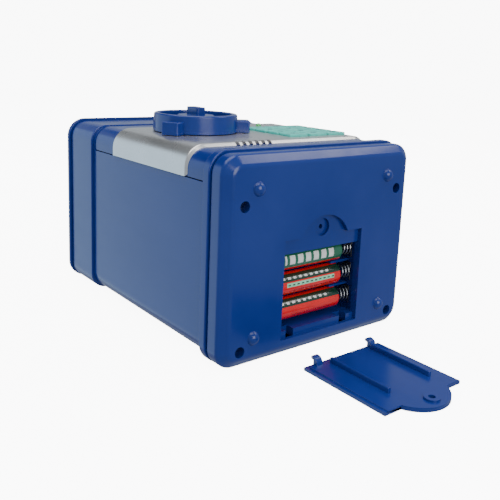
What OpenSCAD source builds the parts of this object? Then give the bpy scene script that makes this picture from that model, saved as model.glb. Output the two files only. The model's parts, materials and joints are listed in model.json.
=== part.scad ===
// Toy cash-machine savings bank, lying on its back with the battery cover open.
// X is across the bank, Y runs from its bottom face to its top, Z is up through the front panel.

/* [Case] */
// Width of the base plate
case_w = 116; // [104:1:140]
// Depth from the back to the front edge of the base plate
case_d = 94; // [84:1:115]
// Height of the bank from its bottom face to the top of its lid
case_h = 156; // [146:1:190]
// Radius of the long corners
corner_r = 9; // [7:0.5:10]
// Thickness of the moulded case walls
wall = 2; // [1.6:0.1:2.4]

/* [Base] */
// Depth of the base plate, from the bottom face
base_t = 10; // [9.5:0.5:12]
// How far the sloping edge of the bottom face comes in from each side
slope_in = 4.5; // [3:0.5:6]
// Depth of that sloping edge
slope_t = 3.4; // [2:0.2:5]
// Radius of the four foot domes
foot_r = 3.4; // [3:0.1:4]
// How far the foot domes stand out
foot_h = 2.4; // [1.5:0.1:3]
// Distance of the foot domes from the middle, across the bank
foot_x = 40.3; // [34:0.1:44]
// Distance of the case screws from the middle, across the bank
screw_x = 47.5; // [44:0.1:48]
// Height of the lower case screws above the back
screw_low = 8; // [7.5:0.1:9]
// Height of the upper case screws above the back
screw_high = 72.3; // [62:0.1:73]
// Radius of the case screw shanks
screw_r = 1.3; // [1:0.1:1.5]

/* [Battery bay] */
// Width of the battery cover
cover_w = 48; // [46:0.5:50]
// Length of the battery cover, without its tab
cover_l = 46; // [45:0.5:48]
// Thickness of the battery cover
cover_t = 2; // [1.6:0.1:2.2]
// Height of the cover's hook edge above the back
cover_z = 8.2; // [8:0.1:9]
// How far the cover lies in front of the bottom face
cover_away = 15.8; // [14:0.1:18]
// Diameter of one cell
cell_d = 10.5; // [10:0.1:10.7]
// Length of one cell with its button
cell_l = 44.5; // [43:0.1:44.8]
// Distance between the middles of neighbouring cells
cell_pitch = 12.1; // [11.9:0.1:12.3]
// Length of the battery springs as fitted
cell_spring = 7; // [6:0.1:7.5]

/* [Steps in the case] */
// Depth of the raised flange above the base plate
flange_t = 4.4; // [3:0.2:6]
// How far the flange stands out past the base plate
flange_out = 1; // [0.5:0.1:1.5]
// How far the sides of the main body come in from the base plate
body_in = 1.5; // [1:0.1:2]
// Height of the head section and lid together
head_h = 30; // [29:1:36]
// Thickness of the lid's rim
lid_t = 2.8; // [2:0.1:4]
// How far the lid stands out past the head section
lid_out = 1.3; // [0.8:0.1:2]

/* [Door] */
// Depth of the door's sides, from its face to the seam
door_side = 12.5; // [12:0.5:14]
// Thickness of the door's walls
door_wall = 1.8; // [1.6:0.1:2]
// Distance of the hinge axis from the outside of the door
hinge_in = 4; // [3.8:0.1:4.5]
// Radius of the hinge pins
pin_r = 1; // [0.8:0.1:1.1]
// Distance of the silver panel's lower edge from the bottom face
panel_y0 = 30; // [26:1:34]
// Length of the silver panel
panel_l = 71; // [68:1:78]
// How far the silver panel stands out from the door
panel_t = 1.5; // [1.2:0.1:1.8]
// Number of speaker slots
slot_count = 6; // [4:1:8]
// Width of each speaker slot
slot_w = 2.2; // [1.5:0.1:2.6]
// Distance between speaker slots
slot_pitch = 3.8; // [3.4:0.1:4.4]

/* [Keypad] */
// Distance between key columns
key_px = 13.6; // [12:0.1:14]
// Distance between key rows
key_py = 10; // [9:0.1:10.4]
// Gap between neighbouring keys
key_gap = 1.3; // [1.2:0.1:1.8]
// How far the keys stand out from the panel
key_out = 1.2; // [0.8:0.1:2]
// How far a key travels
key_travel = 1.2; // [0.8:0.1:1.3]

/* [Knob] */
// Outer radius of the knob's rim
knob_r = 21.8; // [18:0.1:23]
// Height of the knob's rim
knob_h = 9.2; // [8:0.1:12]
// Thickness of the knob's rim
knob_rim = 3.2; // [2:0.1:4]
// How far the three lugs reach out of the rim
lug_out = 6; // [3:0.1:6.5]
// Width of a lug
lug_w = 9; // [6:0.5:12]
// Height of a lug
lug_h = 6.2; // [4:0.1:7]
// Radius of the cap in the middle of the knob
cap_r = 9.5; // [8:0.1:12]
// Radius of the knob's shaft
shaft_r = 3; // [2.5:0.1:3.4]
// Distance that the lock bolt slides for a quarter turn, as gear module
lock_module = 1; // [0.9:0.05:1.1]

/* [Note feed] */
// Radius of the feed rollers
roller_r = 6; // [5:0.1:6.2]
// Radius of the roller shafts
axle_r = 2; // [1.5:0.1:2.2]
// Gear module of the feed drive
feed_module = 0.6; // [0.5:0.05:0.6]
// Width of the note slot
note_w = 76; // [60:1:80]
// Length of the coin slot
coin_w = 30; // [26:1:34]
// Gap of both slots
slot_gap = 3.4; // [2.6:0.1:3.8]

/* [Fits] */
// Gap between pieces that move past each other
gap = 0.4; // [0.3:0.05:0.5]
// Radial clearance of a shaft that turns in a hole
run = 0.05; // [0.03:0.01:0.1]

/* [Hidden] */
$fn = 64;
eps = 0.01;

blue = [0.07, 0.21, 0.5];
silver = [0.72, 0.71, 0.7];
steel = [0.6, 0.6, 0.62];
dark = [0.1, 0.1, 0.11];

half_w = case_w / 2;

// The cover swings a quarter turn about this pole, in Y and in Z, between lying in front and closed.
pole = (cover_z - cover_away) / 2;
tab_r = 16;
tab_rise = 9.3;
cover_top = cover_z + cover_l;
tab_top = cover_top + tab_rise;

// The origin is midway between the open cover's far end and the lid.
face_y = -(case_h - (cover_away + cover_l + tab_rise)) / 2;

flange_y0 = base_t + 0.6;
flange_y1 = flange_y0 + flange_t;
head_y0 = case_h - head_h;
lid_y0 = case_h - lid_t;
head_y1 = lid_y0 - 1.2;
body_half = half_w - body_in;
body_low = body_in;
front_z = case_d - 0.5;
inner_half = body_half - wall;
inner_low = body_low + wall;
seam_z = front_z - door_side;
rim_z = seam_z - gap;

door_y0 = flange_y1 + gap;
door_y1 = head_y0 - wall - gap;
door_in_z = front_z - door_wall;
hinge_x = body_half - hinge_in;
hinge_z = seam_z + hinge_in;
ear_r = pin_r + 1.1;
ear_t = 3.4;
ear_ys = [door_y0 + door_wall + gap, door_y1 - door_wall - gap - ear_t];
panel_y1 = panel_y0 + panel_l;
panel_z = front_z + panel_t;
panel_side = 1;

bulkhead_y = 24;
bay_half = (cell_l + cell_spring + 1.5) / 2;
bay_y = 16.3;
cell_y = bay_y - 0.4 - cell_d / 2;
cell_z0 = cover_z + cell_d / 2 + 4.85;
bay_z0 = cell_z0 - cell_d / 2 - 2;
bay_z1 = cell_z0 + 2 * cell_pitch + cell_d / 2 + 0.3;
boss_z = cover_top + 3.4;

knob_x = -23;
knob_y = panel_y0 + 0.648 * panel_l;
knob_z = panel_z + 0.3;
gear_z0 = seam_z - 5.4;
gear_t = 3.4;
pinion_teeth = 10;
pinion_pitch_r = lock_module * pinion_teeth / 2;
bolt_travel = pinion_pitch_r * PI / 2;
rack_y = knob_y + pinion_pitch_r;
bolt_y0 = rack_y + 1.25 * lock_module;
bolt_y1 = bolt_y0 + 6;
bolt_x0 = -inner_half + bolt_travel + 1.2;
keeper_x = bolt_x0 - 1.5;
keeper_ease = 1.3;
rack_end = knob_x + 4 * PI * lock_module;
frame_z = seam_z - 0.8;
sol_x = knob_x - 2;
sol_y0 = bolt_y1 + 7;
plunger_travel = 2.5;
plunger_r = 2;

keys_x0 = 9;
keys_y0 = panel_y0 + 8;
key_w = key_px - key_gap;
key_l = key_py - key_gap;
key_window = [keys_x0 - 0.5, keys_y0 - 0.5, 3 * key_px + 1, 4 * key_py + 1];
speaker_x = -20;
speaker_y = panel_y0 + 11;
speaker_r = 13;

shaft_y = (head_y0 + head_y1) / 2 + 1;
note_z = case_d * 0.745;
drive_z = note_z - roller_r - gap / 2;
pinch_z = note_z + roller_r + gap / 2;
cheek_x = note_w / 2 + 3;
cheek_t = 3;
feed_teeth = 28;
feed_pinion_teeth = 10;
feed_gear_r = feed_module * feed_teeth / 2;
motor_z = drive_z - feed_module * (feed_teeth + feed_pinion_teeth) / 2 - 0.05;
feed_gear_x = -cheek_x - cheek_t - 1;
feed_gear_t = 4;
coin_z = case_d * 0.3;

// Moves a piece drawn from the bottom face into the part's frame.
module at_face() { translate([0, face_y, 0]) children(); }

// Extrudes an X-Z drawing from y0 to y1.
module slab(y0, y1) { translate([0, y1, 0]) rotate([90, 0, 0]) linear_extrude(y1 - y0) children(); }

// Extrudes a Y-Z drawing along X from x0 to x1.
module across(x0, x1) { translate([x0, 0, 0]) rotate([90, 0, 90]) linear_extrude(x1 - x0) children(); }

// A round bar along Y.
module rod_y(y0, y1, r) { translate([0, y0, 0]) rotate([-90, 0, 0]) cylinder(h = y1 - y0, r = r); }

// A round bar along X.
module rod_x(x0, x1, r) { translate([x0, 0, 0]) rotate([0, 90, 0]) cylinder(h = x1 - x0, r = r); }

// A box between two corners.
module box(low, high) { translate(low) cube(high - low); }

// A rectangle with round corners, half as wide as given each side of the middle, between two heights.
module outline(half, low, high, r) {
    translate([-half + r, low]) square([2 * (half - r), high - low]);
    translate([-half, low + r]) square([2 * half, high - low - 2 * r]);
    for (x = [-1, 1], z = [low + r, high - r]) translate([x * (half - r), z]) circle(r);
}

module body_outline(inward) {
    outline(body_half - inward, body_low + inward, front_z - inward, corner_r - inward);
}

// A slab with that outline whose edge slopes in towards y0.
module sloped_block(half, low, high, r, y0, y1, inset, depth) {
    slab(y0 + depth, y1) outline(half, low, high, r);
    across(-half + r, half - r)
        polygon([[y0, low + inset], [y0, high - inset], [y0 + depth, high], [y0 + depth, low]]);
    translate([0, 0, low + r]) linear_extrude(high - low - 2 * r)
        polygon([[inset - half, y0], [half - inset, y0], [half, y0 + depth], [-half, y0 + depth]]);
    for (x = [-1, 1], z = [low + r, high - r]) translate([x * (half - r), y0, z])
        rotate([-90, 0, 0]) cylinder(h = depth, r1 = r - inset, r2 = r);
}

// Involute gear teeth: the angle of a tooth's flank from its middle, at radius r.
function inv(a) = tan(a) * 180 / PI - a;
function flank(r, pitch_r, half) =
    let (base_r = pitch_r * cos(20)) half + inv(20) - inv(acos(min(1, base_r / max(r, base_r))));
function polar(r, a) = [r * cos(a), r * sin(a)];

module gear_outline(size, teeth, slack) {
    pitch_r = size * teeth / 2;
    half = 90 / teeth - slack / pitch_r * 90 / PI;
    low = pitch_r - 1.2 * size;
    step = 1.8 * size / 5;
    radii = [for (i = [0:5]) low + i * step + (i == 5 ? 0.3 * size : 0)];
    points = [for (t = [0:teeth - 1]) each concat(
        [for (i = [0:5]) polar(radii[i], 360 * t / teeth - flank(radii[i], pitch_r, half))],
        [for (i = [5:-1:0]) polar(radii[i], 360 * t / teeth + flank(radii[i], pitch_r, half))])];
    polygon(points);
}

// Where the four case screws go, in X and Z.
screw_places = [for (x = [-screw_x, screw_x], z = [screw_low, screw_high]) [x, z]];

module at_screws() { for (p = screw_places) translate([p[0], 0, p[1]]) children(); }

module end_slots(y0, y1) {
    box([-note_w / 2, y0, note_z - slot_gap / 2], [note_w / 2, y1, note_z + slot_gap / 2]);
    box([-coin_w / 2, y0, coin_z - slot_gap / 2], [coin_w / 2, y1, coin_z + slot_gap / 2]);
}

module hinge_ear(y0) {
    difference() {
        union() {
            translate([hinge_x, 0, hinge_z]) rod_y(y0, y0 + ear_t, ear_r);
            box([hinge_x - ear_r, y0, rim_z - 8], [hinge_x + ear_r, y0 + ear_t, hinge_z]);
            box([hinge_x - ear_r, y0, rim_z - 8], [inner_half + wall / 2, y0 + ear_t, rim_z - 1]);
        }
        translate([hinge_x, 0, hinge_z]) rod_y(y0 - 1, y0 + ear_t + 1, pin_r);
    }
}

module main_case() {
    color(blue) at_face() {
        difference() {
            union() {
                slab(flange_y0, flange_y1)
                    outline(half_w + flange_out, 0, case_d + flange_out, corner_r + flange_out);
                intersection() {
                    slab(flange_y1, head_y0) body_outline(0);
                    box([-half_w, flange_y1, 0], [half_w, head_y0, rim_z]);
                }
                slab(head_y0 - wall, head_y0) body_outline(0);
            }
            slab(flange_y0 - 1, head_y0 - wall) body_outline(wall);
            end_slots(head_y0 - wall - 1, head_y0 + 1);
        }
        difference() {
            union() {
                at_screws() rod_y(flange_y0, bulkhead_y - 4, 3.4);
                for (p = screw_places) box([min(p[0], sign(p[0]) * (inner_half + 1)), flange_y0, p[1] - 1],
                    [max(p[0], sign(p[0]) * (inner_half + 1)), bulkhead_y - 4, p[1] + 1]);
            }
            at_screws() rod_y(flange_y0 - 1, bulkhead_y - 5, screw_r);
        }
        for (y = ear_ys) hinge_ear(y);
        // Lip that the base plate fits over.
        slab(base_t - 3, flange_y0 + 1) difference() {
            outline(half_w - wall - 0.1, wall + 0.1, case_d - wall - 0.1, corner_r - wall);
            body_outline(wall);
        }
    }
}

// The battery cover's face in X and Z, grown by a clearance.
module cover_outline(extra) {
    translate([-cover_w / 2 - extra, cover_z - extra]) square([cover_w + 2 * extra, cover_l + 2 * extra]);
    intersection() {
        translate([0, tab_top - tab_r]) circle(tab_r + extra);
        translate([-tab_r - extra, cover_top - 1]) square([2 * (tab_r + extra), tab_rise + 2]);
    }
}

module base_cover() {
    seat_y = cover_t + 0.2;
    color(blue) at_face() difference() {
        union() {
            difference() {
                sloped_block(half_w, 0, case_d, corner_r, 0, base_t, slope_in, slope_t);
                sloped_block(half_w - wall, wall, case_d - wall, corner_r - wall, wall, base_t + 1,
                    slope_in - 1, slope_t);
            }
            for (x = [-foot_x, foot_x], z = [screw_low + 5, screw_high + 7]) intersection() {
                translate([x, foot_r - foot_h, z]) sphere(foot_r);
                box([x - foot_r, -foot_h - 1, z - foot_r], [x + foot_r, wall / 2, z + foot_r]);
            }
            at_screws() rod_y(1, base_t, 4);
            box([-bay_half - 1.6, 1, cover_z - 1.2], [bay_half + 1.6, bay_y + 1.6, bay_z1 + 1.6]);
            slab(1, seat_y + 1.6) cover_outline(2);
            translate([0, 0, boss_z]) rod_y(1, 14, 5);
        }
        at_screws() {
            rod_y(-1, base_t - 1.6, 2.5);
            rod_y(0, base_t + 1, screw_r + 0.2);
        }
        slab(-1, seat_y) cover_outline(0.3);
        box([-bay_half, seat_y + 1.6, bay_z0], [bay_half, bay_y, bay_z1]);
        box([-cover_w / 2 - 0.3, 0, bay_z0], [cover_w / 2 + 0.3, bay_y, bay_z1 - 0.6]);
        for (x = [-hook_x, hook_x])
            box([x - hook_w / 2 - 0.5, cover_t, cover_z - 2.3],
                [x + hook_w / 2 + 0.5, hook_deep + gap + 1, bay_z0 + 1]);
        translate([0, 0, boss_z]) {
            rod_y(0, seat_y + 1.4, 4.2);
            rod_y(0, 12.5, 1.1);
        }
    }
    // Ribs between the cells, at both ends of the bay.
    color(blue) at_face()
        for (side = [-1, 1], z = [cell_z0 + cell_pitch / 2, cell_z0 + 1.5 * cell_pitch])
            box([side > 0 ? bay_half - 13 : -bay_half - eps, cell_y - 2, z - 0.6],
                [side > 0 ? bay_half + eps : -bay_half + 9, bay_y + eps, z + 0.6]);
}

module base_screws() {
    color(steel) at_face() at_screws() difference() {
        union() {
            rod_y(base_t - 3.2, base_t - 1.6, 2.3);
            rod_y(base_t - 3, bulkhead_y - 5.5, screw_r);
        }
        for (a = [0, 90]) rotate([0, a, 0]) box([-1.4, base_t - 4, -0.3], [1.4, base_t - 2.6, 0.3]);
    }
}

module head_case() {
    color(blue) at_face() difference() {
        slab(head_y0, head_y1) outline(half_w, 0.5, case_d, corner_r);
        slab(head_y0 - 1, head_y1 + 1) outline(half_w - wall, 0.5 + wall, case_d - wall, corner_r - wall);
    }
}

module top_cover() {
    color(blue) at_face() difference() {
        union() {
            translate([0, lid_y0 + case_h, 0]) mirror([0, 1, 0])
                sloped_block(half_w + lid_out, 0, case_d + lid_out, corner_r + lid_out, lid_y0, case_h, 0.8, 0.8);
            slab(head_y1, lid_y0) outline(half_w - 0.8, 1.3, case_d - 0.8, corner_r - 0.8);
            slab(head_y1 - 3, head_y1) difference() {
                outline(half_w - wall - 0.1, 0.6 + wall, case_d - wall - 0.1, corner_r - wall - 0.1);
                outline(half_w - wall - 1.7, 2.2 + wall, case_d - wall - 1.7, corner_r - wall - 1.7);
            }
        }
        end_slots(head_y1 - 1, case_h + 1);
    }
}

module inner_bulkhead() {
    color(dark) at_face() difference() {
        union() {
            intersection() {
                slab(bulkhead_y - wall, bulkhead_y) body_outline(wall);
                box([-half_w, 0, 0], [half_w, case_h, rim_z]);
            }
            intersection() {
                slab(bulkhead_y - wall, bulkhead_y) body_outline(door_wall + gap);
                box([-half_w, 0, rim_z - 1], [hinge_x - hinge_in - 2 * gap, case_h, case_d]);
            }
        }
        // Room for the wires
        translate([-inner_half + 14, 0, rim_z - 6]) rod_y(bulkhead_y - wall - 1, bulkhead_y + 1, 1.9);
    }
}

module hinge_pins() {
    color(steel) at_face() translate([hinge_x, 0, hinge_z]) {
        rod_y(door_y0 + 0.2, ear_ys[0] + ear_t + 0.6, pin_r);
        rod_y(ear_ys[1] - 0.6, door_y1 - 0.2, pin_r);
    }
}

module lock_keeper() {
    low = gear_z0 - gap - 1.6;
    color(dark) at_face() difference() {
        box([-inner_half, bolt_y0 - keeper_ease - 2, low], [keeper_x, bolt_y1 + gap + 2, rim_z - 0.4]);
        box([-inner_half - 1, bolt_y0 - keeper_ease, gear_z0 - gap],
            [keeper_x + 1, bolt_y1 + gap, gear_z0 + gear_t + gap]);
    }
}

module battery(i) {
    can_r = cell_d / 2;
    color(i == 0 ? "firebrick" : "darkgreen") at_face()
        translate([-bay_half + 0.5, cell_y, cell_z0 + (2 - i) * cell_pitch]) {
            rod_x(0, 1.2, 1.9);
            rod_x(1.1, 2, can_r - 0.8);
            rod_x(1.9, cell_l - 0.6, can_r);
            rod_x(cell_l - 0.7, cell_l, can_r - 0.7);
        }
}

module battery_1() { battery(0); }
module battery_2() { battery(1); }
module battery_3() { battery(2); }

// A coil spring along X as one closed tube: its rings follow a helix that narrows towards the cell.
module coil_spring(length, r_big, r_small, wire, turns) {
    per_turn = 14;
    sides = 6;
    steps = turns * per_turn;
    rings = [for (s = [0:steps]) let (
            t = s / steps, a = 360 * turns * t, r = r_big + (r_small - r_big) * t,
            x = wire + (length - 2 * wire) * t)
        [for (k = [0:sides - 1]) let (b = 360 * k / sides)
            [x + wire * sin(b), (r + wire * cos(b)) * cos(a), (r + wire * cos(b)) * sin(a)]]];
    points = [for (ring = rings) each ring];
    walls = [for (s = [0:steps - 1], k = [0:sides - 1]) let (n = (k + 1) % sides)
        [s * sides + k, s * sides + n, (s + 1) * sides + n, (s + 1) * sides + k]];
    caps = [[for (k = [sides - 1:-1:0]) k], [for (k = [0:sides - 1]) steps * sides + k]];
    polyhedron(points, concat(walls, caps));
}

module battery_springs() {
    color(steel) at_face() for (i = [0:2])
        translate([bay_half - 0.5, cell_y, cell_z0 + i * cell_pitch]) mirror([1, 0, 0])
            coil_spring(cell_spring + 0.5, 4, 2.4, 0.35, 4);
}

module battery_contacts() {
    color(steel) at_face() for (i = [0:2], side = [-1, 1])
        box([side > 0 ? bay_half - 0.5 : -bay_half, cell_y - 3.5, cell_z0 + i * cell_pitch - 4.6],
            [side > 0 ? bay_half : 0.5 - bay_half, bay_y - 0.5, cell_z0 + i * cell_pitch + 4.6]);
}

board_y = base_t - 1;
board_z0 = tab_top + 4;
board_z1 = seam_z + 4;

module main_board() {
    color("darkgreen") at_face() difference() {
        box([-34, board_y, board_z0], [34, board_y + 1.6, board_z1]);
        for (x = [-31, 31]) translate([x, 0, (board_z0 + board_z1) / 2]) rod_y(board_y - 1, board_y + 3, 1.1);
    }
    color("darkgreen") at_face() for (x = [-31, 31])
        translate([x, 0, (board_z0 + board_z1) / 2]) difference() {
            rod_y(wall, board_y, 2.6);
            rod_y(wall - 1, board_y + 1, 1.1);
        }
}

module board_parts() {
    z = (board_z0 + board_z1) / 2;
    color(dark) at_face() translate([0, board_y + 1.6, 0]) {
        box([-12, 0, z - 5], [2, 1.8, z + 5]);
        for (x = [10, 18]) translate([x, 0, z]) rod_y(0, 7, 3);
        box([-26, 0, z - 4], [-19, 4.5, z + 4]);
    }
}

module roller_frame() {
    low = motor_z - 9;
    high = pinch_z + axle_r + 2;
    y0 = shaft_y - 9;
    color(dark) at_face() difference() {
        union() {
            for (x = [-cheek_x - cheek_t, cheek_x]) box([x, y0, low], [x + cheek_t, shaft_y + 8, high]);
            box([-cheek_x - 1, y0, low], [cheek_x + 1, y0 + 2, motor_z - 1]);
        }
        translate([0, shaft_y, drive_z]) rod_x(-half_w, half_w, axle_r + run);
        translate([0, shaft_y, pinch_z]) rod_x(-half_w, half_w, axle_r + run);
        translate([0, shaft_y, motor_z]) rod_x(-half_w, -cheek_x + 1, 2.4);
    }
}

motor_r = 7.4;
motor_l = 20;

module feed_motor() {
    color(steel) at_face() translate([0, shaft_y, motor_z]) difference() {
        union() {
            intersection() {
                rod_x(-cheek_x, -cheek_x + motor_l, motor_r);
                box([-cheek_x, -5.5, -motor_r], [-cheek_x + motor_l, 5.5, motor_r]);
            }
            rod_x(-cheek_x - 1.5, -cheek_x + 1, 2.2);
        }
        rod_x(-cheek_x - 3, -cheek_x + 12, 1 + run);
    }
}

module coin_chute() {
    color(dark) at_face() difference() {
        box([-coin_w / 2 - 1.6, head_y0, coin_z - slot_gap / 2 - 1.6],
            [coin_w / 2 + 1.6, head_y1, coin_z + slot_gap / 2 + 1.6]);
        box([-coin_w / 2, head_y0 - 1, coin_z - slot_gap / 2], [coin_w / 2, head_y1 + 1, coin_z + slot_gap / 2]);
    }
}

module roller_axle(z, x0) {
    color(steel) at_face() translate([0, shaft_y, z]) {
        rod_x(x0, cheek_x + cheek_t + 1.5, axle_r);
    }
}

module roller_tyres(z) {
    color("dimgray") at_face() translate([0, shaft_y, z]) for (x = [-14, 8, 30]) difference() {
        rod_x(x - 6, x + 6, roller_r);
        rod_x(x - 7, x + 7, axle_r);
    }
}

module drive_shaft() { roller_axle(drive_z, feed_gear_x - feed_gear_t); }
module drive_tyres() { roller_tyres(drive_z); }
module pinch_shaft() { roller_axle(pinch_z, -cheek_x - cheek_t - 1.5); }
module pinch_tyres() { roller_tyres(pinch_z); }

module roller_gear() {
    color("ivory") at_face() translate([0, shaft_y, drive_z]) difference() {
        across(feed_gear_x - feed_gear_t, feed_gear_x) gear_outline(feed_module, feed_teeth, 0.12);
        rod_x(-half_w, 0, axle_r);
    }
}

module motor_shaft() {
    color(steel) at_face() translate([0, shaft_y, motor_z]) rod_x(feed_gear_x - feed_gear_t, -cheek_x + 11, 1);
}

module motor_pinion() {
    color("goldenrod") at_face() translate([0, shaft_y, motor_z]) difference() {
        across(feed_gear_x - feed_gear_t, feed_gear_x) gear_outline(feed_module, feed_pinion_teeth, 0.12);
        rod_x(-half_w, 0, 1);
    }
}

module speaker_slots(y0, y1, z0, z1) {
    for (i = [0:slot_count - 1])
        let (x = speaker_x + (i - (slot_count - 1) / 2) * slot_pitch)
            box([x - slot_w / 2, y0, z0], [x + slot_w / 2, y1, z1]);
}

module at_knob() { translate([knob_x, knob_y, 0]) children(); }

module door_shell() {
    color(blue) at_face() {
        difference() {
            intersection() {
                slab(door_y0, door_y1) body_outline(0);
                union() {
                    box([-half_w, 0, seam_z], [hinge_x, case_h, case_d]);
                    box([hinge_x - 1, 0, hinge_z], [half_w, case_h, case_d]);
                    translate([hinge_x, 0, hinge_z]) rod_y(0, case_h, hinge_in);
                }
            }
            slab(door_y0 + door_wall, door_y1 - door_wall) difference() {
                translate([-half_w, 0]) square([case_w, case_d]);
                difference() {
                    body_outline(0);
                    body_outline(door_wall);
                }
                intersection() {
                    translate([hinge_x, hinge_z - hinge_in]) square([hinge_in, hinge_in]);
                    difference() {
                        translate([hinge_x, hinge_z]) circle(hinge_in);
                        translate([hinge_x, hinge_z]) circle(hinge_in - door_wall);
                    }
                }
            }
            for (y = ear_ys) box([hinge_x - ear_r, y - gap, 0], [half_w, y + ear_t + gap, hinge_z + ear_r + gap]);
            translate([hinge_x, 0, hinge_z]) rod_y(0, case_h, pin_r + run);
            at_knob() translate([0, 0, seam_z]) cylinder(h = door_side + 1, r = shaft_r + run);
            box([key_window[0], key_window[1], seam_z],
                [key_window[0] + key_window[2], key_window[1] + key_window[3], case_d]);
            speaker_slots(panel_y0 + 0.6, panel_y0 + 4, seam_z + 4, case_d);
            for (x = led_xs) translate([x, led_y, seam_z]) cylinder(h = door_side + 1, r = led_r + 0.1);
        }
    }
}

led_r = 1.5;
led_xs = [keys_x0 + key_px * 0.5, keys_x0 + key_px * 1.5];
led_y = (keys_y0 + 4 * key_py + panel_y1) / 2;

module door_panel() {
    color(silver) at_face() difference() {
        sloped_block(body_half + panel_side, 0, panel_z, corner_r + panel_side, panel_y0, panel_y1, panel_t, panel_t);
        slab(panel_y0 - 1, panel_y1 + 1) body_outline(0);
        box([-half_w - 1, 0, -1], [0, case_h, seam_z]);
        box([-1, 0, -1], [half_w + 1, case_h, hinge_z + hinge_in + 2 * gap]);
        at_knob() translate([0, 0, seam_z]) cylinder(h = door_side + 3, r = shaft_r + run);
        for (i = [0:2], j = [0:3])
            translate([keys_x0 + (i + 0.5) * key_px, keys_y0 + (j + 0.5) * key_py, case_d])
                cube([key_w + 0.6, key_l + 0.6, 6], center = true);
        speaker_slots(panel_y0 - 1, panel_y0 + 3, seam_z, case_d + 3);
        for (x = led_xs) translate([x, led_y, seam_z]) cylinder(h = door_side + 3, r = led_r + 0.1);
    }
}

board_top = door_in_z - 2.1;

module keypad_key(i) {
    x = keys_x0 + (i % 3 + 0.5) * key_px;
    y = keys_y0 + (3.5 - floor(i / 3)) * key_py;
    cap_low = front_z - 0.4;
    color("turquoise") at_face() translate([x, y, 0]) {
        translate([0, 0, (cap_low - 0.5 + panel_z + key_out) / 2])
            cube([key_w, key_l, panel_z + key_out - cap_low + 0.5], center = true);
        translate([0, 0, cap_low - 0.4]) cube([key_w + 0.9, key_l + 0.9, 0.8], center = true);
        translate([0, 0, board_top + 0.6 + key_travel + 0.2])
            cylinder(h = cap_low - board_top - 1.2 - key_travel, r = 1.5);
    }
}

module keypad_board() {
    x1 = key_window[0] + key_window[2] + 1;
    y1 = key_window[1] + key_window[3] + 2;
    color("darkgreen") at_face() {
        box([key_window[0] - 2, key_window[1] - 2, board_top - 1.6], [x1, y1, board_top]);
        for (x = [key_window[0] + 2, x1 - 6], y = [key_window[1] - 1.2, y1 - 0.8])
            translate([x, y, board_top - eps]) cylinder(h = door_in_z - board_top + eps, r = 0.7);
    }
}

module key_membrane() {
    color("gray") at_face() translate([key_window[0], key_window[1], board_top])
        cube([key_window[2], key_window[3], 0.6]);
}

module speaker() {
    color(dark) at_face() translate([speaker_x, speaker_y, door_in_z]) mirror([0, 0, 1]) {
        difference() {
            cylinder(h = 3, r = speaker_r);
            translate([0, 0, -1]) cylinder(h = 3, r = speaker_r - 1.4);
        }
        cylinder(h = 6.5, r = 7);
    }
}

module led(i) {
    color(i == 0 ? "red" : "lime") at_face() translate([led_xs[i], led_y, 0]) {
        translate([0, 0, door_in_z - 2.2]) cylinder(h = panel_z + 0.2 - door_in_z + 2.2, r = led_r);
        translate([0, 0, panel_z + 0.2]) intersection() {
            sphere(led_r);
            cylinder(h = 2, r = led_r);
        }
        translate([0, 0, door_in_z - 1.2]) cylinder(h = 1.2, r = led_r + 0.5);
    }
}

module led_red() { led(0); }
module led_green() { led(1); }

// The bracket that carries the knob's shaft and guides the bolt, under the door.
module lock_frame() {
    x0 = bolt_x0 + 2;
    x1 = rack_end + gap + 4;
    y0 = knob_y - 9;
    y1 = bolt_y1 + gap + 1.6;
    color(dark) at_face() difference() {
        union() {
            box([x0, y0, frame_z], [x1, y1, frame_z + 1.8]);
            for (x = [x0, x1 - 2], y = [y0, y1 - 2]) box([x, y, frame_z + 1], [x + 2, y + 2, door_in_z]);
            for (x = [x0, x1 - 4])
                box([x, bolt_y0 - gap - 1.6, gear_z0 - gap - 1.6], [x + 4, y1, frame_z + 1]);
        }
        box([x0 - 1, bolt_y0 - gap, gear_z0 - gap], [x1 + 1, bolt_y1 + gap, gear_z0 + gear_t + gap]);
        at_knob() translate([0, 0, frame_z - 1]) cylinder(h = 4, r = shaft_r + run);
    }
}

module lock_solenoid() {
    z0 = gear_z0 + gear_t / 2;
    color("darkorange") at_face() translate([sol_x, sol_y0, 0]) difference() {
        union() {
            box([-6, 0, z0 - 5], [6, 15, z0 + 5]);
            box([-6, 0, z0 + 4], [6, 2, door_in_z]);
            box([-6, 13, z0 + 4], [6, 15, door_in_z]);
        }
        translate([0, 0, z0]) rod_y(-1, 16, plunger_r + run);
    }
}

module solenoid_plunger() {
    color(steel) at_face() translate([sol_x, 0, gear_z0 + gear_t / 2]) {
        rod_y(bolt_y1 + 0.5, sol_y0 + 16 + plunger_travel + gap, plunger_r);
        rod_y(sol_y0 - 2, sol_y0 - 1, plunger_r + 1.2);
        rod_y(sol_y0 + 15 + plunger_travel + gap, sol_y0 + 16.2 + plunger_travel + gap, plunger_r + 1.2);
    }
}

module knob() {
    color(blue) at_face() at_knob() difference() {
        union() {
            translate([0, 0, knob_z]) rotate_extrude($fn = 96) polygon([
                [0, 0], [knob_r, 0], [knob_r, knob_h - 0.8], [knob_r - 0.8, knob_h],
                [knob_r - knob_rim + 0.3, knob_h], [knob_r - knob_rim, knob_h - 0.3],
                [knob_r - knob_rim, 2.5], [0, 2.5]]);
            for (a = [90, 210, 330]) rotate(a)
                translate([knob_r - knob_rim + 0.5, -lug_w / 2, knob_z])
                    cube([knob_rim - 0.5 + lug_out, lug_w, lug_h]);
        }
        translate([0, 0, knob_z - 1]) cylinder(h = 2.6, r = shaft_r);
        translate([0, 0, knob_z + 1.8]) cylinder(h = 2, r = 4);
    }
}

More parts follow.
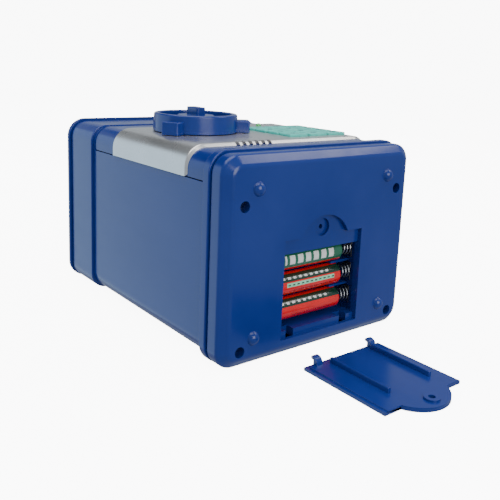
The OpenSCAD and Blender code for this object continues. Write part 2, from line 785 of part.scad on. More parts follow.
module knob_cap() {
    top = knob_z + knob_h - 0.9;
    color(blue) at_face() at_knob() {
        translate([0, 0, knob_z + 1.8]) cylinder(h = top - knob_z - 2, r = 4);
        translate([0, 0, top - 1.4]) cylinder(h = 1.1, r = cap_r);
        translate([0, 0, top - 0.31]) cylinder(h = 0.31, r1 = cap_r, r2 = cap_r - 0.4);
        translate([-2.7, -5.3, top - eps]) cube([5.4, 10.6, 4]);
    }
}

module knob_shaft() {
    color(steel) at_face() at_knob() difference() {
        translate([0, 0, gear_z0 - 0.5]) cylinder(h = knob_z + 1.6 - gear_z0 + 0.5, r = shaft_r);
        translate([0, 0, gear_z0 - 1]) cylinder(h = 9, r = 1.2);
    }
}

module lock_pinion() {
    color("ivory") at_face() at_knob() difference() {
        translate([0, 0, gear_z0]) linear_extrude(gear_t)
            rotate(90) gear_outline(lock_module, pinion_teeth, 0.15);
        translate([0, 0, gear_z0 - 1]) cylinder(h = gear_t + 2, r = shaft_r);
    }
}

module knob_screw() {
    color(steel) at_face() at_knob() {
        translate([0, 0, gear_z0 - 2]) cylinder(h = 1.5, r = 3.4);
        translate([0, 0, gear_z0 - 0.6]) cylinder(h = 8, r = 1.2);
    }
}

module lock_bolt() {
    pitch = PI * lock_module;
    half = pitch / 4 - 0.08;
    lean = tan(20) * lock_module;
    x1 = knob_x + 12 + bolt_travel;
    z_mid = gear_z0 + gear_t / 2;
    color(steel) at_face() difference() {
        union() {
            box([bolt_x0, bolt_y0 - eps, gear_z0], [x1, bolt_y1, gear_z0 + gear_t]);
            translate([0, 0, gear_z0]) linear_extrude(gear_t)
                for (i = [-2:3]) translate([knob_x + (i + 0.5) * pitch, rack_y]) polygon([
                    [-half - 1.25 * lean, 1.25 * lock_module], [-half + 0.9 * lean, -0.9 * lock_module],
                    [half - 0.9 * lean, -0.9 * lock_module], [half + 1.25 * lean, 1.25 * lock_module]]);
        }
        for (x = [sol_x, sol_x + bolt_travel])
            translate([x, 0, z_mid]) rod_y(bolt_y1 - plunger_travel - 0.2, bolt_y1 + 1, plunger_r + gap);
        for (x = [sol_x, sol_x + bolt_travel])
            box([x - plunger_r - gap, bolt_y1 - plunger_travel - 0.2, gear_z0 - 1],
                [x + plunger_r + gap, bolt_y1 + 1, gear_z0 + gear_t + 1]);
    }
}

hook_x = 17.3;
hook_w = 3.6;
hook_deep = 5.4;

// Turns the battery cover from its place in the base to where it lies, opened flat.
module opened() { translate([0, pole, pole]) rotate([90, 0, 0]) translate([0, -pole, -pole]) children(); }

module battery_cover() {
    edge = cover_z;
    step = 0.5;
    color(blue) at_face() opened() difference() {
        union() {
            slab(0, cover_t - step) cover_outline(0);
            slab(cover_t - step - eps, cover_t) {
                translate([-cover_w / 2 + 1.6, edge + 1.6]) square([cover_w - 3.2, cover_l - 1.6]);
                intersection() {
                    translate([0, tab_top - tab_r]) circle(tab_r);
                    translate([-tab_r, cover_top - 1]) square([2 * tab_r, tab_rise + 2]);
                }
            }
            for (x = [-11, 15.2])
                box([x - 0.8, cover_t - 0.1, bay_z0 + gap], [x + 0.8, cover_t + 2.4, edge + cover_l - 9]);
            for (x = [-hook_x, hook_x]) across(x - hook_w / 2, x + hook_w / 2) polygon([
                [cover_t - 0.6, edge + 0.4], [cover_t - 0.6, edge + 3.4], [cover_t + 2.4, edge + 2.4],
                [hook_deep, edge + 1], [hook_deep, edge - 1.1], [hook_deep - 1.3, edge - 1.1], [hook_deep - 1.5, edge + 0.4]]);
            translate([0, 0, boss_z]) rod_y(cover_t - 0.1, cover_t + 0.8, 3.4);
        }
        translate([0, 0, boss_z]) rod_y(-1, cover_t + 2, 1.5);
    }
}

main_case();
base_cover();
base_screws();
head_case();
top_cover();
inner_bulkhead();
hinge_pins();
lock_keeper();
battery_1();
battery_2();
battery_3();
battery_springs();
battery_contacts();
main_board();
board_parts();
roller_frame();
feed_motor();
coin_chute();
drive_shaft();
drive_tyres();
roller_gear();
pinch_shaft();
pinch_tyres();
motor_shaft();
motor_pinion();
door_shell();
door_panel();
keypad_board();
key_membrane();
speaker();
led_red();
led_green();
lock_frame();
lock_solenoid();
solenoid_plunger();
knob();
knob_cap();
knob_shaft();
lock_pinion();
knob_screw();
lock_bolt();
battery_cover();
for (i = [0:11]) keypad_key(i);
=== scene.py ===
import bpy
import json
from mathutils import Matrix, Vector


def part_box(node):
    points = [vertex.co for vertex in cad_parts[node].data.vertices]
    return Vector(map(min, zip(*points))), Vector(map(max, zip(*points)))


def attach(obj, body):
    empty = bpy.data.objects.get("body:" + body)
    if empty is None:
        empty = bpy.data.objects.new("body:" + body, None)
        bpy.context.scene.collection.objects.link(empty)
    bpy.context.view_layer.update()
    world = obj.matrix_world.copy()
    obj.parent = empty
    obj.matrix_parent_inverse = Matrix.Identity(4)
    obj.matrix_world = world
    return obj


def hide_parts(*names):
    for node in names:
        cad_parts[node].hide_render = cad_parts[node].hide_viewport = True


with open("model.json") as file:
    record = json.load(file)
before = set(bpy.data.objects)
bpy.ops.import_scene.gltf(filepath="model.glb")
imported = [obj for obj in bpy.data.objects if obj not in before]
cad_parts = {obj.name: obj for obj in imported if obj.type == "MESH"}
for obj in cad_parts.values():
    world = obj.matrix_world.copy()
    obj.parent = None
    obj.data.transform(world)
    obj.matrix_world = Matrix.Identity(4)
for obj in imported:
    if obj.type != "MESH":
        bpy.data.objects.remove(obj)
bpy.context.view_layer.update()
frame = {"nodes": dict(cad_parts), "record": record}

import json
import math
from types import SimpleNamespace

import bmesh
import bpy
from bpy.props import FloatProperty, FloatVectorProperty, IntProperty, PointerProperty
from bpy.types import Operator, Panel, PropertyGroup
from mathutils import Matrix, Vector

bl_info = {
    "name": "Toy cash machine bank",
    "version": (1, 0, 0),
    "blender": (4, 5, 0),
    "location": "3D Viewport > Sidebar > Bank",
    "description": "Finished pieces, materials and studio for a toy cash machine savings bank",
    "category": "Object",
}

MM = 0.001
BLUE_SHELL = "blue_case"
LAMPS = ("led_red", "led_green")

# The stage's radius and that of its cove, in metres.
STAGE_R, COVE_R = 3.2, 1.2

# In millimetres: the hinge ears' radius, thickness and play, the battery cover's play and the places of its two
# ribs, and a distance that is outside the case.
EAR_R, EAR_T, EAR_GAP = 2.1, 3.4, 0.4
COVER_GAP = 0.3
RIB_XS = (-11, 15.2)
FAR = 70

BASE_LOW, BASE_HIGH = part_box("base_cover")
FLANGE_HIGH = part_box("main_case")[1]
HEAD_LOW, HEAD_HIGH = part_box("head_case")
LID_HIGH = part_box("top_cover")[1]
PANEL_LOW, PANEL_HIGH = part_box("door_panel")
DOOR_LOW, DOOR_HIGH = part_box("door_shell")
KNOB_LOW, KNOB_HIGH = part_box("knob")


def length(name, default, description):
    """A size in metres, as a property with a unit."""
    return FloatProperty(name=name, description=description, default=default, min=0, unit="LENGTH", precision=4)


def tint(name, default, description):
    """A linear colour property."""
    return FloatVectorProperty(name=name, description=description, default=default, size=3, min=0, max=1,
                               subtype="COLOR")


def share(name, default, description):
    """A property from 0 to 1."""
    return FloatProperty(name=name, description=description, default=default, min=0, max=1, subtype="FACTOR")


def power(name, default, description):
    """A lamp's power, as a property with a unit."""
    return FloatProperty(name=name, description=description, default=default, min=0, unit="POWER")


class BankSizes(PropertyGroup):
    """Sizes of the finished pieces."""

    case_w: length("Base width", BASE_HIGH.x - BASE_LOW.x, "Width of the base plate")
    case_d: length("Base depth", BASE_HIGH.z - BASE_LOW.z, "Depth from the back to the front of the base plate")
    corner: length("Corner radius", 0.009, "Radius of the base plate's long corners")
    wall: length("Wall", 0.002, "Thickness of the moulded case walls")
    slope_in: length("Slope inset", 0.0045, "How far the base plate's sloping edge comes in")
    slope_t: length("Slope depth", 0.0034, "Depth of the base plate's sloping edge")
    base_t: length("Base depth", 0.010, "Depth of the base plate behind the bottom face")
    foot_r: length("Foot radius", 0.0034, "Radius of the foot domes")
    foot_h: length("Foot height", 0.0024, "How far the foot domes stand out")
    edge: length("Edge round", 0.0005, "Radius of the moulded edges")
    cover_w: length("Cover width", 0.048, "Width of the battery cover")
    cover_l: length("Cover length", 0.046, "Length of the battery cover without its tab")
    cover_t: length("Cover thickness", 0.002, "Thickness of the battery cover")
    cover_z: length("Cover height", 0.0082, "Height of the cover's hook edge above the back")
    tab_rise: length("Tab rise", 0.0093, "How far the round tab stands above the battery cover")
    tab_r: length("Tab radius", 0.016, "Radius of the battery cover's round tab")
    hook_x: length("Hook place", 0.0173, "Distance of each of the cover's hooks from its middle")
    cell_d: length("Cell diameter", 0.0105, "Diameter of one cell")
    cell_l: length("Cell length", 0.0445, "Length of one cell")
    flange_out: length("Flange reach", 0.001, "How far the flange stands out past the base plate")
    body_in: length("Body inset", 0.0015, "How far the main body's sides come in from the base plate")
    door_wall: length("Door wall", 0.0018, "Thickness of the door")
    door_side: length("Door side", 0.0125, "Depth of the door's sides from its face to the seam")
    hinge_in: length("Hinge inset", 0.004, "Distance of the hinge axis from the outside of the door")
    slot_w: length("Speaker slot", 0.0022, "Width of one speaker slot")
    slot_pitch: length("Slot pitch", 0.0038, "Distance between speaker slots")
    knob_rim: length("Knob rim", 0.0032, "Thickness of the knob's rim")
    knob_r: length("Knob radius", 0.0218, "Outer radius of the knob's rim")
    cap_r: length("Knob cap", 0.0095, "Radius of the cap in the middle of the knob")
    key_gap: length("Key gap", 0.0013, "Gap between neighbouring keys")
    key_px: length("Key pitch across", 0.0136, "Distance between key columns")
    key_py: length("Key pitch along", 0.010, "Distance between key rows")
    slot_count: IntProperty(name="Speaker slots", description="Number of speaker slots", default=6, min=1)


class BankFinish(PropertyGroup):
    """Colours and surface qualities of the finishes."""

    blue: tint("Blue", (0.001, 0.023, 0.205), "Moulded shell colour")
    silver: tint("Silver", (0.70, 0.68, 0.66), "Painted front panel colour")
    key: tint("Key", (0.055, 0.58, 0.48), "Keypad key colour")
    cell_green: tint("Cell green", (0.015, 0.15, 0.075), "Green of the cell wraps")
    cell_red: tint("Cell red", (0.85, 0.005, 0.004), "Red of the cell wraps")
    blue_rough: share("Blue roughness", 0.2, "Roughness of the moulded blue plastic")
    silver_rough: share("Silver roughness", 0.27, "Roughness of the silver paint")
    grain: share("Grain", 0.05, "Strength of the moulded surface's fine bumps")


class BankStudio(PropertyGroup):
    """Camera and lights."""

    place: FloatVectorProperty(name="Camera place", description="Where the camera stands",
                               default=(-0.2103, -0.25185, 0.1308), size=3, subtype="TRANSLATION",
                               unit="LENGTH")
    turn: FloatVectorProperty(name="Camera turn", description="Turn from straight ahead, dip and roll",
                              default=(math.radians(38.22), math.radians(10.92), math.radians(2.30)), size=3,
                              subtype="EULER", unit="ROTATION")
    lens: FloatProperty(name="Lens", description="Focal length on a 36 mm sensor", default=47.4, min=1,
                        unit="CAMERA")
    shift: FloatProperty(name="Rise", description="Vertical lens shift", default=-0.12)
    side_power: power("Side light", 7.0, "Power of the side softbox")
    top_power: power("Top light", 9.0, "Power of the overhead softbox")
    front_power: power("Front light", 9.0, "Power of the front fill")
    rim_power: power("Rim light", 2.6, "Power of the small softbox that lights the edges")
    sky: FloatProperty(name="Sky", description="Strength of the even light from all round", default=0.55, min=0)
    glow: FloatProperty(name="Cove glow", description="Light that the pale cove gives off", default=10.0, min=0)


def middle(node):
    """A node's middle at rest, in millimetres."""
    return [(a + b) / 2 / MM for a, b in zip(*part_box(node))]


def measured():
    """The bank's sizes in millimetres, with the places that follow from them. Y is from the bottom face."""
    group = bpy.context.scene.bank_sizes
    s = SimpleNamespace()
    for name in group.__annotations__:
        value = getattr(group, name)
        setattr(s, name, value if isinstance(value, int) else round(value / MM, 4))
    s.face_y = BASE_LOW.y / MM + s.foot_h
    s.head_y0, s.head_y1, s.case_h, s.door_y0, s.door_y1, s.panel_y0, s.panel_y1 = [
        corner.y / MM - s.face_y
        for corner in (HEAD_LOW, HEAD_HIGH, LID_HIGH, DOOR_LOW, DOOR_HIGH, PANEL_LOW, PANEL_HIGH)]
    s.half_w = s.case_w / 2
    s.flange_half = FLANGE_HIGH.x / MM
    s.flange_y0 = s.base_t + 0.6
    s.flange_y1 = s.flange_y0 + 4.4
    s.lid_y0 = s.head_y1 + 1.2
    s.body_half = s.half_w - s.body_in
    s.front_z = s.case_d - 0.5
    s.seam_z = s.front_z - s.door_side
    s.rim_z = s.seam_z - 0.4
    s.hinge_x = s.body_half - s.hinge_in
    s.hinge_z = s.seam_z + s.hinge_in
    s.ear_ys = (s.door_y0 + s.door_wall + EAR_GAP, s.door_y1 - s.door_wall - EAR_GAP - EAR_T)
    s.panel_z = PANEL_HIGH.z / MM
    s.knob_x = middle("knob")[0]
    s.knob_y = middle("knob_shaft")[1] - s.face_y
    s.knob_z = KNOB_LOW.z / MM
    s.knob_h = (KNOB_HIGH.z - KNOB_LOW.z) / MM
    cells = [middle(f"battery_{i}") for i in (1, 2, 3)]
    s.cell_x0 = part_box("battery_1")[0].x / MM
    s.cell_y = cells[0][1] - s.face_y
    s.cell_zs = [z for x, y, z in cells]
    s.bay_half = s.cell_l / 2 + 4.25
    s.bay_y = s.cell_y + s.cell_d / 2 + 0.4
    s.bay_z0 = s.cell_zs[2] - s.cell_d / 2 - 2
    s.bay_z1 = s.cell_zs[0] + s.cell_d / 2 + 0.3
    s.cover_top = s.cover_z + s.cover_l
    s.tab_top = s.cover_top + s.tab_rise
    s.tab_z = s.cover_top + s.tab_rise - s.tab_r
    s.boss_z = s.cover_top + 3.4
    s.pole = (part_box("battery_cover")[0].y / MM - s.face_y + s.tab_top) / 2
    return s


def spot(s, node):
    """The X and Y of a node's middle."""
    x, y, z = middle(node)
    return x, y - s.face_y


# Drawing: every piece is drawn in millimetres, with Y measured from the bottom face.

def drawn(*parts):
    """One bmesh holding several, each of which is freed."""
    whole = parts[0]
    for part in parts[1:]:
        mesh = bpy.data.meshes.new("part")
        part.to_mesh(mesh)
        part.free()
        whole.from_mesh(mesh)
        bpy.data.meshes.remove(mesh)
    return whole


def prism(points, radii, along, steps=9):
    """A flat outline, with each corner rounded by its own radius, carried along a vector into a solid."""
    bm = bmesh.new()
    verts = [bm.verts.new(point) for point in points]
    bm.faces.new(verts)
    for vert, radius in zip(verts, radii):
        if radius:
            bmesh.ops.bevel(bm, geom=[vert], offset=radius, segments=steps, profile=0.5, affect="VERTICES",
                            material=-1)
    grown = bmesh.ops.extrude_face_region(bm, geom=bm.faces[:])["geom"]
    bmesh.ops.translate(bm, vec=along, verts=[v for v in grown if isinstance(v, bmesh.types.BMVert)])
    bmesh.ops.recalc_face_normals(bm, faces=bm.faces[:])
    return bm


def column(corners, radii, y0, y1, steps=9):
    """A solid along Y whose X-Z section has these corners, each rounded by its own radius."""
    return prism([(x, y0, z) for x, z in corners], radii, (0, y1 - y0, 0), steps)


def oblong(half, low, high):
    """The corners of an X-Z section that is centred on X."""
    return [(-half, low), (half, low), (half, high), (-half, high)]


def slab(half, low, high, radius, y0, y1, steps=9):
    """A block along Y with four equal round corners, centred on X."""
    return column(oblong(half, low, high), [radius] * 4, y0, y1, steps)


def case_slab(s, inset, back, y0, y1, steps=12):
    """A slab on the outline of the base and head, drawn in by inset, with its back at back plus inset."""
    return slab(s.half_w - inset, back + inset, s.case_d - inset, s.corner - inset, y0, y1, steps)


def body_slab(s, inset, y0, y1, steps=12):
    """A slab on the outline of the narrower main body, drawn in by inset."""
    return slab(s.body_half - inset, s.body_in + inset, s.front_z - inset, s.corner - inset, y0, y1, steps)


def block(low, high):
    """A square-cornered box between two corners."""
    bm = bmesh.new()
    low, high = Vector(low), Vector(high)
    place = Matrix.Translation((low + high) / 2) @ Matrix.Diagonal((*(high - low), 1))
    bmesh.ops.create_cube(bm, size=1, matrix=place)
    return bm


def tile(x, y, half_x, half_y, z0, z1):
    """A square-cornered box round a middle in X and Y."""
    return block((x - half_x, y - half_y, z0), (x + half_x, y + half_y, z1))


AIM = {"X": Matrix.Rotation(math.pi / 2, 4, "Y"), "Y": Matrix.Rotation(-math.pi / 2, 4, "X"),
       "Z": Matrix.Identity(4)}


def rod(axis, start, reach, radius, sides=48):
    """A round bar from the point start, along an axis."""
    bm = bmesh.new()
    place = Matrix.Translation(start) @ AIM[axis] @ Matrix.Translation((0, 0, reach / 2))
    bmesh.ops.create_cone(bm, cap_ends=True, cap_tris=False, segments=sides, radius1=radius, radius2=radius,
                          depth=reach, matrix=place)
    return bm


def lathe(axis, start, profile, sides=96):
    """A turned solid: the profile's (radius, height) points are spun round an axis through start."""
    bm = bmesh.new()
    verts = [bm.verts.new((r, 0, h)) for r, h in profile]
    edges = [bm.edges.new(pair) for pair in zip(verts, verts[1:])]
    bmesh.ops.spin(bm, geom=verts + edges, cent=(0, 0, 0), axis=(0, 0, 1), dvec=(0, 0, 0), angle=math.tau,
                   steps=sides, use_merge=True, use_duplicate=False)
    bmesh.ops.remove_doubles(bm, verts=bm.verts[:], dist=1e-4)
    bmesh.ops.transform(bm, matrix=Matrix.Translation(start) @ AIM[axis], verts=bm.verts[:])
    bmesh.ops.recalc_face_normals(bm, faces=bm.faces[:])
    return bm


def arc(centre, radius, start, end, steps=6):
    """Points of a profile along an arc, angles in degrees."""
    angles = [math.radians(start + (end - start) * i / steps) for i in range(steps + 1)]
    return [(centre[0] + radius * math.cos(a), centre[1] + radius * math.sin(a)) for a in angles]


def slope_end(bm, y, inset, depth):
    """Carries the flat end at y on outwards by depth while it draws in by inset."""
    cap = [f for f in bm.faces if all(abs(v.co.y - y) < 1e-3 for v in f.verts)]
    bmesh.ops.inset_region(bm, faces=cap, thickness=inset, depth=depth, use_even_offset=True, use_boundary=True)


def soften(bm, width, steps=2, where=None, sharper=30):
    """Rounds the sharp edges whose middle is in the chosen place."""
    chosen = []
    for e in bm.edges:
        if len(e.link_faces) == 2 and math.degrees(e.calc_face_angle(0)) > sharper:
            if where is None or where((e.verts[0].co + e.verts[1].co) / 2):
                chosen.append(e)
    bmesh.ops.bevel(bm, geom=chosen, offset=width, offset_type="OFFSET", segments=steps, profile=0.5,
                    affect="EDGES", clamp_overlap=True, material=-1, miter_outer="SHARP")
    return bm


def side_rims(bm, ys, width, steps=3, sharper=25):
    """Rounds the edges that lie in the planes y."""
    return soften(bm, width, steps, lambda p: any(abs(p.y - y) < 0.05 for y in ys), sharper)


def linked(name, bm):
    """An object in the scene that holds a drawing, which is freed."""
    mesh = bpy.data.meshes.new(name)
    bm.to_mesh(mesh)
    bm.free()
    thing = bpy.data.objects.new(name, mesh)
    bpy.context.scene.collection.objects.link(thing)
    return thing


def add(*solids):
    """Jobs for carve that join these solids on."""
    return [("UNION", solid) for solid in solids]


def cut(*solids):
    """Jobs for carve that take these solids away."""
    return [("DIFFERENCE", solid) for solid in solids]


def keep(solid):
    """The job for carve that leaves only what is inside the solid."""
    return [("INTERSECT", solid)]


def carve(body, *jobs):
    """The body after each job in turn, as a new drawing."""
    target = linked("body", body)
    tools = []
    for verb, solid in jobs:
        tool = linked("tool", solid)
        tools.append(tool)
        step = target.modifiers.new(verb, "BOOLEAN")
        step.operation, step.object, step.solver = verb, tool, "EXACT"
    bpy.context.view_layer.update()
    result = bmesh.new()
    result.from_object(target, bpy.context.evaluated_depsgraph_get())
    for thing in [target, *tools]:
        mesh = thing.data
        bpy.data.objects.remove(thing)
        bpy.data.meshes.remove(mesh)
    bmesh.ops.remove_doubles(result, verts=result.verts[:], dist=1e-4)
    bmesh.ops.dissolve_degenerate(result, dist=1e-4, edges=result.edges[:])
    return result


def finished(name, bm, body, slot, *nodes, materials=(), shading=42):
    """Makes the piece's object from its drawing, parents it to its body and hides the nodes that it stands for.
    """
    bmesh.ops.holes_fill(bm, edges=[e for e in bm.edges if e.is_boundary], sides=0)
    bmesh.ops.scale(bm, vec=(MM, MM, MM), verts=bm.verts[:])
    bmesh.ops.translate(bm, vec=(0, measured().face_y * MM, 0), verts=bm.verts[:])
    thing = linked(name, bm)
    for material in materials or [finishes()[slot]]:
        thing.data.materials.append(material)
    thing.data.shade_smooth()
    thing.data.set_sharp_from_angle(angle=math.radians(shading))
    even = thing.modifiers.new("Even shading", "WEIGHTED_NORMAL")
    even.keep_sharp = True
    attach(thing, body)
    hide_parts(*nodes)


# Finishes

MADE = {}


class Recipe:
    """A material's node tree, with short ways to add and join its nodes."""

    def __init__(self, name):
        self.material = MADE[name] = bpy.data.materials.new(name)
        self.material.use_nodes = True
        self.tree = self.material.node_tree
        self.shader = next(n for n in self.tree.nodes if n.type == "BSDF_PRINCIPLED")
        self.place = self.node("ShaderNodeTexCoord").outputs["Object"]

    def feed(self, socket, value):
        """Joins a socket to another one, or sets its number, vector or colour."""
        if isinstance(value, bpy.types.NodeSocket):
            self.tree.links.new(value, socket)
        else:
            plain = socket.type == "RGBA" and len(value) == 3
            socket.default_value = (*value, 1) if plain else value

    def node(self, kind, inputs=(), **settings):
        made = self.tree.nodes.new(kind)
        for key, value in settings.items():
            setattr(made, key, value)
        for key, value in dict(inputs).items():
            self.feed(made.inputs[key], value)
        return made

    def noise(self, scale, detail=3.0, stretch=None, roughness=0.5):
        place = self.place
        if stretch:
            place = self.node("ShaderNodeMapping", {"Vector": place, "Scale": stretch}).outputs["Vector"]
        made = self.node("ShaderNodeTexNoise", {"Vector": place, "Scale": scale, "Detail": detail,
                                                "Roughness": roughness})
        return made.outputs["Fac"]

    def between(self, factor, low, high, start=0.3, end=0.7):
        """Spreads a factor from start..end over low..high."""
        made = self.node("ShaderNodeMapRange", {"Value": factor, "From Min": start, "From Max": end,
                                                "To Min": low, "To Max": high})
        return made.outputs["Result"]

    def mixed(self, factor, first, second, blend="MIX"):
        """A colour between two colours or sockets."""
        made = self.node("ShaderNodeMix", data_type="RGBA", blend_type=blend)
        for place, value in ((0, factor), (6, first), (7, second)):
            self.feed(made.inputs[place], value)
        return made.outputs[2]

    def math(self, operation, *values):
        made = self.node("ShaderNodeMath", operation=operation)
        for socket, value in zip(made.inputs, values):
            self.feed(socket, value)
        return made.outputs[0]

    def bump(self, height, strength, distance, under=None):
        inputs = {"Height": height, "Strength": strength, "Distance": distance}
        if under is not None:
            inputs["Normal"] = under
        return self.node("ShaderNodeBump", inputs).outputs["Normal"]

    def set(self, **sockets):
        """Sets or links the shader's own sockets; underscores stand for spaces."""
        for key, value in sockets.items():
            self.feed(self.shader.inputs[key.replace("_", " ")], value)
        return self.material


def paler(colour, amount):
    return tuple(c + (1 - c) * amount for c in colour)


def darker(colour, amount):
    return tuple(c * (1 - amount) for c in colour)


def moulded(name, colour, roughness, grain, spread=0.1, pale=0.01):
    """Injection-moulded plastic: faint flow marks, an uneven gloss and a fine skin."""
    r = Recipe(name)
    flow = r.noise(22, 4, stretch=(1, 0.35, 1))
    skin = r.noise(900, 2)
    smear = r.noise(140, 3)
    base = r.mixed(r.between(flow, 0.0, 1.0), darker(colour, spread), paler(colour, pale))
    gloss = r.between(smear, roughness * 0.82, roughness * 1.25)
    normal = r.bump(skin, grain, 0.00006, r.bump(flow, grain, 0.0002))
    return r.set(Base_Color=base, Roughness=gloss, Normal=normal, IOR=1.5)


def painted_silver(name, colour, roughness):
    """Metallic paint: fine flakes over a smooth coat, with faint streaks."""
    r = Recipe(name)
    flakes = r.node("ShaderNodeTexVoronoi", {"Vector": r.place, "Scale": 2600.0}).outputs["Distance"]
    streak = r.noise(60, 3, stretch=(6, 1, 1))
    worn = r.noise(35, 4)
    base = r.mixed(r.between(flakes, 0.0, 1.0, 0.1, 0.7), darker(colour, 0.12), paler(colour, 0.08))
    base = r.mixed(r.between(streak, 0.0, 0.35), base, darker(colour, 0.2))
    gloss = r.between(worn, roughness * 0.85, roughness * 1.2)
    return r.set(Base_Color=base, Roughness=gloss, Normal=r.bump(flakes, 0.15, 0.00003), Metallic=0.88)


def metal(name, colour, roughness, stretch=(1, 12, 12)):
    """Plated or turned metal with fine lines along it."""
    r = Recipe(name)
    lines = r.noise(700, 3, stretch=stretch)
    stain = r.noise(90, 4)
    base = r.mixed(r.between(stain, 0.0, 1.0), darker(colour, 0.22), paler(colour, 0.06))
    gloss = r.between(lines, roughness * 0.7, roughness * 1.35)
    return r.set(Base_Color=base, Roughness=gloss, Normal=r.bump(lines, 0.12, 0.00004), Metallic=1.0)


def rubbery(name, colour, roughness, sheen=0.0):
    """Rubber, silicone or matt plastic with a fine powdery grain."""
    r = Recipe(name)
    grain = r.noise(1500, 3)
    dust = r.noise(70, 5)
    base = r.mixed(r.between(dust, 0.0, 1.0), darker(colour, 0.15), paler(colour, 0.05))
    gloss = r.between(grain, roughness * 0.9, min(1.0, roughness * 1.1))
    return r.set(Base_Color=base, Roughness=gloss, Normal=r.bump(grain, 0.3, 0.00005), Sheen_Weight=sheen)


def circuit(name):
    """Lacquered board: a green mask over paler copper runs."""
    r = Recipe(name)
    runs = r.node("ShaderNodeTexBrick", {"Vector": r.place, "Scale": 260.0, "Mortar Size": 0.06,
                                         "Color1": (1, 1, 1, 1), "Color2": (0.8, 0.8, 0.8, 1),
                                         "Mortar": (0, 0, 0, 1)}).outputs["Fac"]
    mask = r.noise(40, 4)
    base = r.mixed(runs, (0.008, 0.11, 0.045), (0.02, 0.2, 0.08))
    base = r.mixed(r.between(mask, 0.0, 0.4), base, (0.004, 0.07, 0.03))
    return r.set(Base_Color=base, Roughness=r.between(mask, 0.25, 0.4), Normal=r.bump(runs, 0.4, 0.00006))


def lens(name, colour):
    """Tinted clear plastic, frosted inside."""
    r = Recipe(name)
    cloud = r.noise(400, 3)
    base = r.mixed(r.between(cloud, 0.0, 1.0), darker(colour, 0.2), paler(colour, 0.15))
    return r.set(Base_Color=base, Roughness=r.between(cloud, 0.12, 0.25), Transmission_Weight=0.35, IOR=1.5)


def finishes():
    """Every material by its slot in the record, made once."""
    if BLUE_SHELL in MADE:
        return MADE
    f = bpy.context.scene.bank_finish
    moulded(BLUE_SHELL, tuple(f.blue), f.blue_rough, f.grain)
    painted_silver("silver_panel", tuple(f.silver), f.silver_rough)
    moulded("turquoise_key", tuple(f.key), 0.42, 0.2, spread=0.08, pale=0.06)
    moulded("key_figures", (0.03, 0.06, 0.09), 0.5, 0.1)
    rubbery("black_plastic", (0.018, 0.018, 0.02), 0.55)
    rubbery("silicone", (0.5, 0.53, 0.55), 0.6, sheen=0.2)
    rubbery("roller_rubber", (0.022, 0.022, 0.024), 0.8, sheen=0.1)
    moulded("gear_plastic", (0.72, 0.68, 0.58), 0.4, 0.2, pale=0.1)
    metal("steel", (0.34, 0.35, 0.37), 0.3)
    metal("brass", (0.68, 0.47, 0.17), 0.3)
    metal("solenoid", (0.62, 0.5, 0.24), 0.35, stretch=(8, 8, 1))
    circuit("green_board")
    moulded("cell_wrap_green", tuple(f.cell_green), 0.25, 0.1)
    moulded("cell_wrap_red", tuple(f.cell_red), 0.25, 0.1)
    lens("led_red", (0.75, 0.03, 0.02))
    lens("led_green", (0.05, 0.6, 0.1))
    return MADE


class BANK_OT_stage(Operator):
    """Set up the floor, the lights and the camera."""

    bl_idname = "bank.stage"
    bl_label = "Stage"

    def execute(self, context):
        scene, studio = context.scene, context.scene.bank_studio
        world = bpy.data.worlds.new("Studio")
        world.use_nodes = True
        sky = world.node_tree.nodes["Background"].inputs
        sky["Color"].default_value, sky["Strength"].default_value = (0.8, 0.9, 1, 1), studio.sky
        scene.world = world
        profile = [(0, 0), *arc((STAGE_R - COVE_R, COVE_R), COVE_R, -90, 0, 10),
                   *arc((0, COVE_R), STAGE_R, 0, 90, 10)[1:]]
        cove = linked("Pale cove", lathe("Z", (0, 0, 0), profile, 64))
        cove.data.shade_smooth()
        r = Recipe("Pale cove")
        pale = r.mixed(r.noise(3, 2), (0.88, 0.88, 0.88), (0.92, 0.92, 0.92))
        cove.data.materials.append(r.set(Base_Color=pale, Roughness=0.75, Emission_Color=pale,
                                         Emission_Strength=studio.glow))
        cove.visible_glossy = cove.visible_diffuse = cove.visible_shadow = False
        card = linked("Dark card", tile(0, 0, 0.6, 0.28, -0.002, 0.002))
        card.location = (-0.33, 1.13, 0.95)
        card.rotation_mode = "QUATERNION"
        card.rotation_quaternion = card.location.to_track_quat("Z", "Y")
        card.data.materials.append(rubbery("Dark card", (0.02, 0.02, 0.022), 0.9))
        card.visible_camera = card.visible_diffuse = card.visible_shadow = False
        lights = (
            ("Side softbox", (-0.85, 0.95, -0.1), (-0.06, 0.08, 0.05), 1.5, studio.side_power, (0.5, 0.76, 1)),
            ("Overhead softbox", (-0.2, 0.1, 1.1), (0, 0, 0.05), 1.0, studio.top_power, (1, 1, 1)),
            ("Front fill", (-0.1, -1.2, 0.5), (0, 0, 0.05), 0.8, studio.front_power, (1, 1, 1)),
            ("Rim softbox", (0.75, -0.3, 0.92), (0, 0, 0.08), 0.45, studio.rim_power, (1, 0.98, 0.95)),
        )
        for name, place, at, size, watts, colour in lights:
            lamp = bpy.data.lights.new(name, "AREA")
            lamp.shape, lamp.size, lamp.energy, lamp.color = "SQUARE", size, watts, colour
            light = bpy.data.objects.new(name, lamp)
            light.location = place
            light.rotation_mode = "QUATERNION"
            light.rotation_quaternion = (Vector(at) - Vector(place)).to_track_quat("-Z", "Y")
            scene.collection.objects.link(light)
        camera = bpy.data.objects.new("Camera", bpy.data.cameras.new("Camera"))
        camera.location = studio.place
        yaw, dip, roll = studio.turn
        level = Matrix.Rotation(-yaw, 3, "Z") @ Matrix.Rotation(math.pi / 2 - dip, 3, "X")
        camera.rotation_euler = (level @ Matrix.Rotation(roll, 3, "Z")).to_euler()
        camera.data.lens, camera.data.shift_y = studio.lens, studio.shift
        camera.data.clip_start, camera.data.clip_end = 0.005, 20
        scene.collection.objects.link(camera)
        scene.camera = camera
        return {"FINISHED"}


